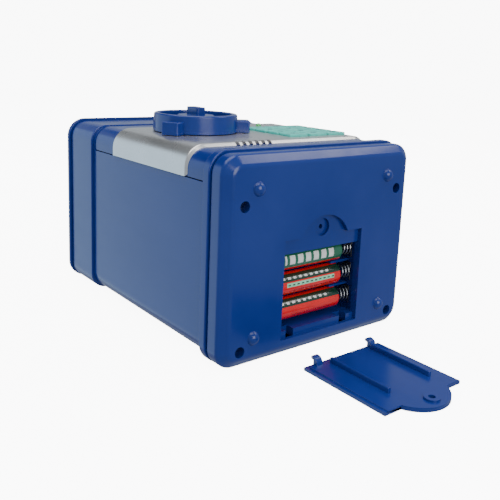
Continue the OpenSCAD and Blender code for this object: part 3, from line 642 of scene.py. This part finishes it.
class BANK_OT_finish_frame(Operator):
    """Give every carried-over part its finish and eased edges."""

    bl_idname = "bank.finish_frame"
    bl_label = "Inner parts"

    def execute(self, context):
        store = finishes()
        slots = {p["node"]: p["material_slot"] for p in frame["record"]["subparts"]}
        for name, node in frame["nodes"].items():
            node.data.materials.clear()
            node.data.materials.append(store[slots[name]])
            weld = node.modifiers.new("Weld", "WELD")
            weld.merge_threshold = 0.000002
            flat = node.modifiers.new("Flats", "DECIMATE")
            flat.decimate_type, flat.angle_limit = "DISSOLVE", math.radians(0.6)
            if name != "battery_springs":
                ease = node.modifiers.new("Eased edges", "BEVEL")
                ease.width, ease.segments, ease.limit_method = 0.00018, 2, "ANGLE"
                ease.angle_limit = math.radians(38)
                ease.use_clamp_overlap = True
            even = node.modifiers.new("Even shading", "WEIGHTED_NORMAL")
            even.keep_sharp = True
        return {"FINISHED"}


def cover_shape(s, extra, y0, y1):
    """The battery cover's face as two solids: its plate and its round tab, grown by extra."""
    half = s.cover_w / 2 + extra
    plate = block((-half, y0, s.cover_z - extra), (half, y1, s.cover_top + extra))
    return plate, rod("Y", (0, y0, s.tab_z), y1 - y0, s.tab_r + extra, sides=72)


class BANK_OT_base_plate(Operator):
    """Model the base plate with its feet, screw holes and battery bay."""

    bl_idname = "bank.base_plate"
    bl_label = "Base plate"

    def execute(self, context):
        s = measured()
        screws = screw_places()
        post_r, head_r, shank_r = 4, 2.5, 1.5
        boss, boss_r, boss_h, washer_r = (0, 0, s.boss_z), 5, 13, 4.2
        plate = case_slab(s, 0, 0, s.slope_t, s.base_t)
        slope_end(plate, s.slope_t, s.slope_in, s.slope_t)
        side_rims(plate, (0, s.slope_t), 1.1, 4)
        side_rims(plate, (s.base_t,), s.edge)
        hollow = case_slab(s, s.wall, 0, s.wall + s.slope_t, s.base_t + 1, 9)
        slope_end(hollow, s.wall + s.slope_t, s.slope_in - 1, s.slope_t)
        seat = s.cover_t + 0.2
        bay_wall = 1.6
        roof = seat + bay_wall
        jobs = cut(rod("Y", (s.hinge_x, s.door_y0 - 1, s.hinge_z), s.case_h, 1.05, sides=24), hollow)
        dome = [(0, 0), *arc((0, s.foot_r), s.foot_r, -75, -8, 8), (s.foot_r, 5), (0, 5)]
        jobs += add(*[lathe("Y", (x, -s.foot_h, z), dome, 40) for x, z in foot_places()])
        jobs += add(*[rod("Y", (x, 1, z), s.base_t - 1, post_r) for x, z in screws])
        jobs += add(block((-s.bay_half - bay_wall, 1, s.cover_z - 1.2),
                          (s.bay_half + bay_wall, s.bay_y + bay_wall, s.bay_z1 + bay_wall)))
        jobs += add(*cover_shape(s, 2, 1, roof), rod("Y", (0, 1, s.boss_z), boss_h, boss_r))
        for x, z in screws:
            jobs += cut(rod("Y", (x, -1, z), s.base_t - 0.6, head_r),
                        rod("Y", (x, 0, z), s.base_t + 1, shank_r))
        jobs += cut(*cover_shape(s, COVER_GAP, -1, seat))
        jobs += cut(block((-s.bay_half, roof, s.bay_z0), (s.bay_half, s.bay_y, s.bay_z1)))
        mouth, notch = s.cover_w / 2 + COVER_GAP, 2.3
        jobs += cut(block((-mouth, 0, s.bay_z0), (mouth, s.bay_y - 1, s.bay_z1 - 0.6)))
        for x in (-s.hook_x, s.hook_x):
            jobs += cut(block((x - notch, s.cover_t, s.cover_z - notch), (x + notch, 6.8, s.bay_z0 + 1)))
        jobs += cut(rod("Y", boss, seat + 1.4, washer_r), rod("Y", boss, boss_h - 0.5, 1.1, sides=24))
        body = carve(plate, *jobs)

        def at_seat(p):
            return abs(p.y - seat) < 0.05

        side_rims(body, (0,), 0.35, 2, sharper=60)
        soften(body, 0.3, 2, lambda p: at_seat(p) and abs(p.x) < 24 and 8.4 < p.z < 54, 60)
        soften(body, 0.35, 2, lambda p: at_seat(p) and math.hypot(p.x, p.z - s.boss_z) < washer_r + 0.4, 60)
        ribs = []
        for x_end, x_in in ((-s.bay_half, 9 - s.bay_half), (s.bay_half, s.bay_half - 13)):
            for low, high in zip(s.cell_zs[1:], s.cell_zs):
                z = (low + high) / 2
                rib = block((min(x_in, x_end), s.cell_y - 2, z - 0.6), (max(x_in, x_end), s.bay_y, z + 0.6))
                ribs.append(soften(rib, 0.35, 2))
        finished("base_plate", drawn(body, *ribs), "case", BLUE_SHELL, "base_cover")
        return {"FINISHED"}


def corners_of(xs, zs):
    """Each X with each Z."""
    return [(x, z) for x in xs for z in zs]


def screw_places():
    """The case screws' X and Z, in millimetres."""
    low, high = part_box("base_screws")
    reach = 2.3
    return corners_of((low.x / MM + reach, high.x / MM - reach), (low.z / MM + reach, high.z / MM - reach))


def foot_places():
    """The foot domes' X and Z, in millimetres."""
    return corners_of((-40.3, 40.3), (13.0, 79.3))


class BANK_OT_case(Operator):
    """Model the main case, the head section and the lid."""

    bl_idname = "bank.case"
    bl_label = "Case, head and lid"

    def execute(self, context):
        s = measured()
        screws = screw_places()
        end = s.head_y0
        flange = slab(s.flange_half, 0, s.case_d + s.flange_out, s.corner + s.flange_out, s.flange_y0,
                      s.flange_y1, 12)
        side_rims(flange, (s.flange_y0, s.flange_y1), s.edge)
        tub = carve(body_slab(s, 0, s.flange_y1 - 1, end), *keep(block((-FAR, 0, 0), (FAR, end, s.rim_z))))
        soften(tub, 0.3, 2, lambda p: abs(p.z - s.rim_z) < 0.05)
        jobs = add(tub, body_slab(s, 0, end - s.wall, end))
        jobs += cut(body_slab(s, s.wall, s.flange_y0 - 1, end - s.wall, 10))
        post_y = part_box("inner_bulkhead")[0].y / MM - s.face_y - 2
        wall_x = s.body_half - s.wall + 1
        for x, z in screws:
            side_x = math.copysign(wall_x, x)
            jobs += add(rod("Y", (x, s.flange_y0, z), post_y - s.flange_y0, 3.4),
                        block((min(x, side_x), s.flange_y0, z - 1), (max(x, side_x), post_y, z + 1)))
            jobs += cut(rod("Y", (x, s.flange_y0 - 1, z), post_y - s.flange_y0 - 0.5, 1.3, sides=24))
        for y in s.ear_ys:
            root = (s.hinge_x - EAR_R, y, s.rim_z - 8)
            jobs += add(block(root, (s.hinge_x + EAR_R, y + EAR_T, s.hinge_z)),
                        block(root, (wall_x, y + EAR_T, s.rim_z - 1)),
                        rod("Y", (s.hinge_x, y, s.hinge_z), EAR_T, EAR_R))
            jobs += cut(rod("Y", (s.hinge_x, y - 1, s.hinge_z), EAR_T + 2, 1, sides=24))
        lip = slab(s.half_w - s.wall - 0.1, s.wall + 0.1, s.case_d - s.wall - 0.1, s.corner - s.wall,
                   s.base_t - 3, s.flange_y0 + 1)
        jobs += add(carve(lip, *cut(body_slab(s, s.wall, 0, s.flange_y0 + 4, 9))))
        jobs += cut(*slots(end - s.wall - 1, end + 1))
        case = carve(flange, *jobs)
        side_rims(case, (end,), 0.3, 2, 60)
        finished("main_shell", case, "case", BLUE_SHELL, "main_case")

        back = 0.5
        head = case_slab(s, 0, back, s.head_y0, s.head_y1)
        side_rims(head, (s.head_y0, s.head_y1), 0.45)
        head = carve(head, *cut(case_slab(s, s.wall, back, s.head_y0 - 1, s.head_y1 + 1)))
        finished("head_section", head, "case", BLUE_SHELL, "head_case")

        half = LID_HIGH.x / MM
        lid = slab(half, 0, LID_HIGH.z / MM, s.corner + half - s.half_w, s.lid_y0, s.case_h, 12)
        side_rims(lid, (s.case_h,), 0.9, 4)
        side_rims(lid, (s.lid_y0,), 0.45)
        neck = case_slab(s, 0.8, back, s.head_y1, s.lid_y0 + 0.5)
        lip = carve(case_slab(s, s.wall + 0.1, back, s.head_y1 - 3, s.head_y1 + 0.5, 9),
                    *cut(case_slab(s, s.wall + 1.7, back, s.head_y1 - 4, s.head_y1, 9)))
        lid = carve(lid, *add(neck, lip), *cut(*slots(s.head_y1 - 4, s.case_h + 1)))
        soften(lid, 0.5, 3, lambda p: abs(p.y - s.case_h) < 0.05 and abs(p.x) < half - 2, 60)
        finished("lid", lid, "case", BLUE_SHELL, "top_cover")
        return {"FINISHED"}


def slots(y0, y1):
    """The note slot and the coin slot as two solids with round ends."""
    s = measured()
    gap = 1.7
    note_z, coin_z = s.case_d * 0.745, s.case_d * 0.3
    return [slab(half, z - gap, z + gap, 0.8, y0, y1, 4) for half, z in ((38, note_z), (15, coin_z))]


class BANK_OT_door(Operator):
    """Model the door and its silver front panel."""

    bl_idname = "bank.door"
    bl_label = "Door"

    def execute(self, context):
        s = measured()
        half, seam, front, r, wall = s.body_half, s.seam_z, s.front_z, s.corner, s.door_wall
        shell = column(oblong(half, seam, front), [0, s.hinge_in, r, r], s.door_y0, s.door_y1, 12)
        inner = [(-half + wall, seam - 5), (s.hinge_x, seam - 5), (s.hinge_x, seam + wall),
                 (half - wall, seam + wall), (half - wall, front - wall), (-half + wall, front - wall)]
        jobs = cut(column(inner, [0, 0, 0, s.hinge_in - wall, r - wall, r - wall], s.door_y0 + wall,
                          s.door_y1 - wall, 8))
        for y in s.ear_ys:
            jobs += cut(block((s.hinge_x - EAR_R, y - EAR_GAP, 0),
                              (FAR, y + EAR_T + EAR_GAP, s.hinge_z + EAR_R + EAR_GAP)))
        x0, y0, x1, y1 = key_window(s)
        jobs += cut(*door_holes(s), block((x0, y0, seam), (x1, y1, s.case_d)))
        shell = carve(shell, *jobs)
        side_rims(shell, (s.door_y0, s.door_y1), 0.35)
        soften(shell, 0.3, 2, lambda p: abs(p.z - seam) < 0.05 and p.x < -half + 0.1)
        finished("door", shell, "door", BLUE_SHELL, "door_shell")

        out, rise = 1.0, s.panel_z - front
        low = s.panel_y0 + rise
        panel = column(oblong(half + out, seam, s.panel_z), [0, 0, r + out, r + out], low, s.panel_y1, 14)
        slope_end(panel, low, rise, rise)
        side_rims(panel, (low,), 0.45)
        side_rims(panel, (s.panel_y1,), 0.4)
        jobs = cut(column(oblong(half, seam - 2, front), [0, 0, r, r], s.panel_y0 - 1, s.panel_y1 + 1, 12),
                   block((-FAR, 0, seam - 9), (0, s.case_h, seam)),
                   block((-1, 0, seam - 9), (FAR, s.case_h, s.hinge_z + s.hinge_in + 0.8)))
        half_x, half_y = key_half(s)
        gap, z1 = 0.3, s.case_d + 5
        for x, y in key_places(s):
            well = tile(x, y, half_x + gap, half_y + gap, seam, z1)
            jobs += cut(soften(well, 1.3, 3, lambda p: abs(p.z - (seam + z1) / 2) < 0.1))
        panel = carve(panel, *jobs, *cut(*door_holes(s)))
        soften(panel, 0.22, 2,
               lambda p: abs(p.z - s.panel_z) < 0.03 and s.panel_y0 + 3 < p.y < s.panel_y1 - 1, 60)
        finished("front_panel", panel, "door", "silver_panel", "door_panel")
        return {"FINISHED"}


def key_window(s):
    """The opening behind the keypad: left, lower, right and upper edges."""
    xs, ys = zip(*key_places(s))
    out_x, out_y = s.key_px / 2 + 0.5, s.key_py / 2 + 0.5
    return min(xs) - out_x, min(ys) - out_y, max(xs) + out_x, max(ys) + out_y


def key_places(s):
    """The keys' middles, key 1 first."""
    return [spot(s, f"key_{i + 1}") for i in range(12)]


def key_half(s):
    """Half a key's width and height."""
    return (s.key_px - s.key_gap) / 2, (s.key_py - s.key_gap) / 2


def door_holes(s):
    """The holes that pass through the door's face: the knob's shaft, the speaker slots and the two lamps."""
    holes = [rod("Z", (s.knob_x, s.knob_y, s.seam_z), 20, 3.05)]
    for i in range(s.slot_count):
        x = middle("speaker")[0] + (i - (s.slot_count - 1) / 2) * s.slot_pitch
        holes.append(block((x - s.slot_w / 2, s.panel_y0 - 1, s.seam_z + 4),
                           (x + s.slot_w / 2, s.panel_y0 + 3.4, 99)))
    return holes + [rod("Z", (*spot(s, lamp), s.seam_z), 20, 1.6) for lamp in LAMPS]


class BANK_OT_keypad(Operator):
    """Model the twelve keys with their figures and the two lamps."""

    bl_idname = "bank.keypad"
    bl_label = "Keypad"

    def execute(self, context):
        s = measured()
        store = finishes()
        half_x, half_y = key_half(s)
        for i, (x, y) in enumerate(key_places(s)):
            node = f"key_{i + 1}"
            low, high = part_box(node)
            bottom, top = low.z / MM, high.z / MM
            skirt_z, skirt = s.front_z - 0.8, 0.45
            cap = tile(x, y, half_x, half_y, skirt_z, top)
            soften(cap, 1.1, 4, lambda p: abs(p.z - (skirt_z + top) / 2) < 0.1)
            side = [tile(x, y, half_x + skirt, half_y + skirt, skirt_z, skirt_z + 0.8),
                    rod("Z", (x, y, bottom), skirt_z - bottom + 0.5, 1.5, sides=24)]
            cap = carve(soften(cap, 0.45, 3, lambda p: abs(p.z - top) < 0.05), *add(*side))
            figure = engraved("123456789*0#"[i], 5.2, (x, y, top - 0.02), 0.07)
            finished(f"keypad_key_{i + 1}", drawn(cap, figure), node, "turquoise_key", node,
                     materials=[store["turquoise_key"], store["key_figures"]])
        for lamp in LAMPS:
            low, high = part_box(lamp)
            bottom, top, r, collar = low.z / MM, high.z / MM, 1.5, 2
            profile = [(0, 0), (1.4, 0), (r, 0.1), (r, 1), (collar, 1.05), (collar, 2.15), (r, 2.2),
                       *arc((0, top - bottom - r), r, 0, 90, 8)]
            turned = lathe("Z", (*spot(s, lamp), bottom), profile, 40)
            finished(f"lamp_{lamp[4:]}", turned, "door", lamp, lamp)
        return {"FINISHED"}


def engraved(figure, height, place, thick):
    """A figure as a thin raised solid whose faces use the second material."""
    curve = bpy.data.curves.new("figure", "FONT")
    curve.body, curve.size, curve.extrude = figure, height, thick
    curve.align_x, curve.align_y, curve.resolution_u = "CENTER", "CENTER", 4
    thing = bpy.data.objects.new("figure", curve)
    bpy.context.scene.collection.objects.link(thing)
    bpy.context.view_layer.update()
    mesh = bpy.data.meshes.new_from_object(thing.evaluated_get(bpy.context.evaluated_depsgraph_get()))
    bm = bmesh.new()
    bm.from_mesh(mesh)
    bpy.data.objects.remove(thing)
    bpy.data.curves.remove(curve)
    bpy.data.meshes.remove(mesh)
    bmesh.ops.remove_doubles(bm, verts=bm.verts[:], dist=1e-4)
    bmesh.ops.translate(bm, vec=place, verts=bm.verts[:])
    for face in bm.faces:
        face.material_index = 1
    return bm


class BANK_OT_knob(Operator):
    """Model the dial knob, its lugs and its cap."""

    bl_idname = "bank.knob"
    bl_label = "Dial knob"

    def execute(self, context):
        s = measured()
        r, h, rim = s.knob_r, s.knob_h, s.knob_rim
        draft = 0.35
        profile = [(0, 0), (r - 0.3, 0), (r, 0.3), *arc((r - draft - 0.9, h - 0.9), 0.9, 0, 90, 6),
                   *arc((r - rim + 0.7, h - 0.7), 0.7, 90, 180, 5), *arc((r - rim - 0.9, 3.4), 0.9, 0, -90, 4),
                   (0, 2.5)]
        centre = (s.knob_x, s.knob_y)
        jobs = []
        lug_w, lug_h = 9.0, 6.2
        tip = (KNOB_HIGH.y - KNOB_LOW.y) / MM - r
        for turn in (90, 210, 330):
            lug = block((r - rim + 0.6, -lug_w / 2, 0), (tip, lug_w / 2, lug_h))
            soften(lug, 0.8, 4, lambda p: p.x > r + 1 and abs(abs(p.y) - lug_w / 2) < 0.05 and p.z > 0.1)
            soften(lug, 0.45, 3, lambda p: p.z > lug_h - 0.1 and p.x > r - 1, 35)
            place = Matrix.Translation((*centre, s.knob_z)) @ Matrix.Rotation(math.radians(turn), 4, "Z")
            bmesh.ops.transform(lug, matrix=place, verts=lug.verts[:])
            jobs += add(lug)
        jobs += cut(rod("Z", (*centre, s.knob_z - 1), 2.6, 3), rod("Z", (*centre, s.knob_z + 1.8), 2, 4))
        body = carve(lathe("Z", (*centre, s.knob_z), profile, 128), *jobs)
        finished("dial_knob", body, "knob", BLUE_SHELL, "knob", shading=35)

        low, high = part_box("knob_cap")
        grip_h = 4
        top, bottom = high.z / MM - grip_h, low.z / MM
        rise = top - bottom
        side = [(0, 0), (4, 0), (4, rise - 1.4), (s.cap_r - 0.3, rise - 1.4), (s.cap_r, rise - 1.1)]
        side += arc((s.cap_r - 0.5, rise - 0.5), 0.5, 0, 90, 4)
        cap = lathe("Z", (*centre, bottom), [*side, (0, rise)])
        grip = tile(*centre, 2.7, 5.3, top - 0.3, top + grip_h)
        soften(grip, 1.3, 5, lambda p: abs(p.z - top - 1.85) < 0.1)
        soften(grip, 0.5, 3, lambda p: p.z > top + grip_h - 0.1)
        finished("dial_cap", carve(cap, *add(grip)), "knob", BLUE_SHELL, "knob_cap", shading=35)
        return {"FINISHED"}


class BANK_OT_battery_cover(Operator):
    """Model the battery cover as it lies open, with its ribs and hooks."""

    bl_idname = "bank.battery_cover"
    bl_label = "Battery cover"

    def execute(self, context):
        s = measured()
        t, edge = s.cover_t, s.cover_z
        step = 0.5
        under = t - step - 0.2
        plate, tab = cover_shape(s, 0, 0, t - step)
        body = soften(carve(plate, *add(tab)), 0.3, 2, lambda p: p.y < 0.1)
        half = s.cover_w / 2 - 1.6
        upper = block((-half, under, edge + 1.6), (half, t, s.cover_top - 0.03))
        soften(upper, 0.22, 2, lambda p: p.y > t - 0.05)
        disc = rod("Y", (0, under, s.tab_z), step + 0.2, s.tab_r - 0.03, sides=72)
        above = block((-s.tab_r, -1, s.cover_top - 1), (s.tab_r, t + 1, s.cover_top + 20))
        jobs = add(upper, carve(disc, *keep(above)))
        for x in RIB_XS:
            rib = block((x - 0.8, t - 0.2, edge + 3.3), (x + 0.8, t + 2.4, edge + s.cover_l - 9))
            jobs += add(soften(rib, 0.4, 3, lambda p: p.y > t + 1))
        jobs += add(*[hook(x, t, edge) for x in (-s.hook_x, s.hook_x)])
        jobs += add(rod("Y", (0, t - 0.1, s.boss_z), 0.9, 3.4))
        jobs += cut(rod("Y", (0, -1, s.boss_z), t + 4, 1.5, sides=32))
        body = carve(body, *jobs)
        pole = Vector((0, s.pole, s.pole))
        turn = Matrix.Translation(pole) @ Matrix.Rotation(math.pi / 2, 4, "X") @ Matrix.Translation(-pole)
        bmesh.ops.transform(body, matrix=turn, verts=body.verts[:])
        finished("battery_lid", body, "battery_cover", BLUE_SHELL, "battery_cover")
        return {"FINISHED"}


def hook(x, t, edge):
    """One curled hook of the battery cover, drawn from its side."""
    side = [(t - 0.6, edge + 0.4), (t - 0.6, edge + 3.4), (t + 2.4, edge + 2.4), (5.4, edge + 1),
            (5.4, edge - 1.1), (4.1, edge - 1.1), (3.9, edge + 0.4)]
    half = 1.8
    curl = prism([(x - half, y, z) for y, z in side], [0, 0, 0.8, 0.9, 0.4, 0.3, 0.5], (2 * half, 0, 0), 4)
    return soften(curl, 0.25, 2, sharper=60)


class BANK_OT_cells(Operator):
    """Model the three cells with their metal ends."""

    bl_idname = "bank.cells"
    bl_label = "Cells"

    def execute(self, context):
        s = measured()
        store = finishes()
        r, end = s.cell_d / 2, s.cell_l
        profile = [(0, 0), (1.7, 0), (1.9, 0.2), (1.9, 1.15), (2.3, 1.3), (3.9, 1.35), (4.3, 1.6), (4.6, 1.9),
                   *arc((r - 0.5, 2.4), 0.5, -80, 0, 5), (r, 3.4), (r, end - 3), (r, end - 1.2),
                   *arc((r - 0.8, end - 1.25), 0.8, 0, 80, 5), (4.35, end - 0.42),
                   *arc((4.1, end - 0.25), 0.25, 0, 90, 3), (0, end)]
        for i, z in enumerate(s.cell_zs):
            cell = lathe("X", (s.cell_x0, s.cell_y, z), profile, 64)
            for face in cell.faces:
                x = face.calc_center_median().x - s.cell_x0
                face.material_index = int(x < 2.1 or x > end - 0.45)
            slot = "cell_wrap_green" if i == 0 else "cell_wrap_red"
            wrap = cell_wrap(f"printed_wrap_{i + 1}", i, s, z)
            finished(f"cell_{i + 1}", cell, "case", slot, f"battery_{i + 1}", materials=[wrap, store["steel"]])
        return {"FINISHED"}


def cell_wrap(name, index, s, z):
    """Printed film: coloured bands round the cell by angle, with plain bars and no lettering."""
    f = bpy.context.scene.bank_finish
    green, red = tuple(f.cell_green), tuple(f.cell_red)
    r = Recipe(name)
    axis_y = (s.face_y + s.cell_y) * MM
    place = r.node("ShaderNodeMapping", {"Vector": r.place, "Location": (-s.cell_x0 * MM, -axis_y, -z * MM)})
    x, y, up = r.node("ShaderNodeSeparateXYZ", {"Vector": place.outputs[0]}).outputs
    turn = r.math("ARCTAN2", up, r.math("MULTIPLY", y, -1.0))
    along = r.math("DIVIDE", x, s.cell_l * MM)

    def band(value, low, high, soft=0.004):
        """1 where value is between low and high."""
        rise = r.node("ShaderNodeMapRange", {"Value": value, "From Min": low - soft, "From Max": low + soft})
        fall = r.node("ShaderNodeMapRange", {"Value": value, "From Min": high - soft, "From Max": high + soft,
                                             "To Min": 1.0, "To Max": 0.0})
        return r.math("MULTIPLY", rise.outputs[0], fall.outputs[0])

    def area(turns, places):
        """1 between two angles round the cell and two shares of its length."""
        return r.math("MULTIPLY", band(turn, *turns), band(along, *places))

    def bars(count, test, share):
        """Bars across the cell, each on for its share of the pitch."""
        return r.math(test, r.math("FRACT", r.math("MULTIPLY", along, count)), share)

    deep = darker(green, 0.75)
    grime = r.noise(260, 4)
    if index == 0:
        base = r.mixed(band(turn, -0.62, 0.98), red, green)
        base = r.mixed(band(turn, 0.86, 1.5), base, deep)
        ink, label, strokes = (0.93, 0.91, 0.84), ((-0.3, 0.52), (0.16, 0.86)), (9.0, "LESS_THAN", 0.66)
    else:
        base = r.mixed(band(turn, 0.42, 1.25), red, deep)
        ink, label, strokes = (0.85, 0.84, 0.78), ((0.62, 0.84), (0.08, 0.82)), (13.0, "LESS_THAN", 0.5)
    if index == 1:
        panel = area((-0.08, 0.3), (0.2, 0.88))
        base = r.mixed(panel, base, (0.33, 0.82, 0.5))
        lines = r.math("MULTIPLY", band(turn, 0.04, 0.16), bars(16.0, "GREATER_THAN", 0.45))
        base = r.mixed(r.math("MULTIPLY", panel, lines), base, darker(green, 0.6))
    if index > 0:
        dashes = r.math("MULTIPLY", area((-0.52, -0.4), (0.3, 0.85)), bars(31.0, "GREATER_THAN", 0.4))
        base = r.mixed(dashes, base, darker(red, 0.85))
    base = r.mixed(r.math("MULTIPLY", area(*label), bars(*strokes)), base, ink)
    base = r.mixed(r.between(grime, 0.0, 0.18), base, (0.02, 0.015, 0.01))
    return r.set(Base_Color=base, Roughness=r.between(grime, 0.16, 0.3), Coat_Weight=0.4, Coat_Roughness=0.1,
                 Normal=r.bump(grime, 0.06, 0.0001))


PIECES = (BANK_OT_finish_frame, BANK_OT_base_plate, BANK_OT_case, BANK_OT_door, BANK_OT_keypad, BANK_OT_knob,
          BANK_OT_battery_cover, BANK_OT_cells)


class BANK_PT_pieces(Panel):
    """Lists the bank's pieces and its settings."""

    bl_label = "Bank"
    bl_idname = "BANK_PT_pieces"
    bl_space_type = "VIEW_3D"
    bl_region_type = "UI"
    bl_category = "Bank"

    def draw(self, context):
        layout = self.layout
        for kind in (BANK_OT_stage, *PIECES):
            layout.operator(kind.bl_idname)
        for place in GROUPS:
            group, rows = getattr(context.scene, place), layout.column()
            for name in group.__annotations__:
                rows.prop(group, name)


GROUPS = {"bank_sizes": BankSizes, "bank_finish": BankFinish, "bank_studio": BankStudio}
CLASSES = (*GROUPS.values(), BANK_OT_stage, *PIECES, BANK_PT_pieces)


def register():
    for kind in CLASSES:
        bpy.utils.register_class(kind)
    for place, group in GROUPS.items():
        setattr(bpy.types.Scene, place, PointerProperty(type=group))


def unregister():
    for place in GROUPS:
        delattr(bpy.types.Scene, place)
    for kind in reversed(CLASSES):
        bpy.utils.unregister_class(kind)


def main():
    """Builds the stage and every piece."""
    register()
    bpy.ops.bank.stage()
    for kind in PIECES:
        group, verb = kind.bl_idname.split(".")
        getattr(getattr(bpy.ops, group), verb)()


if __name__ == "__main__":
    main()
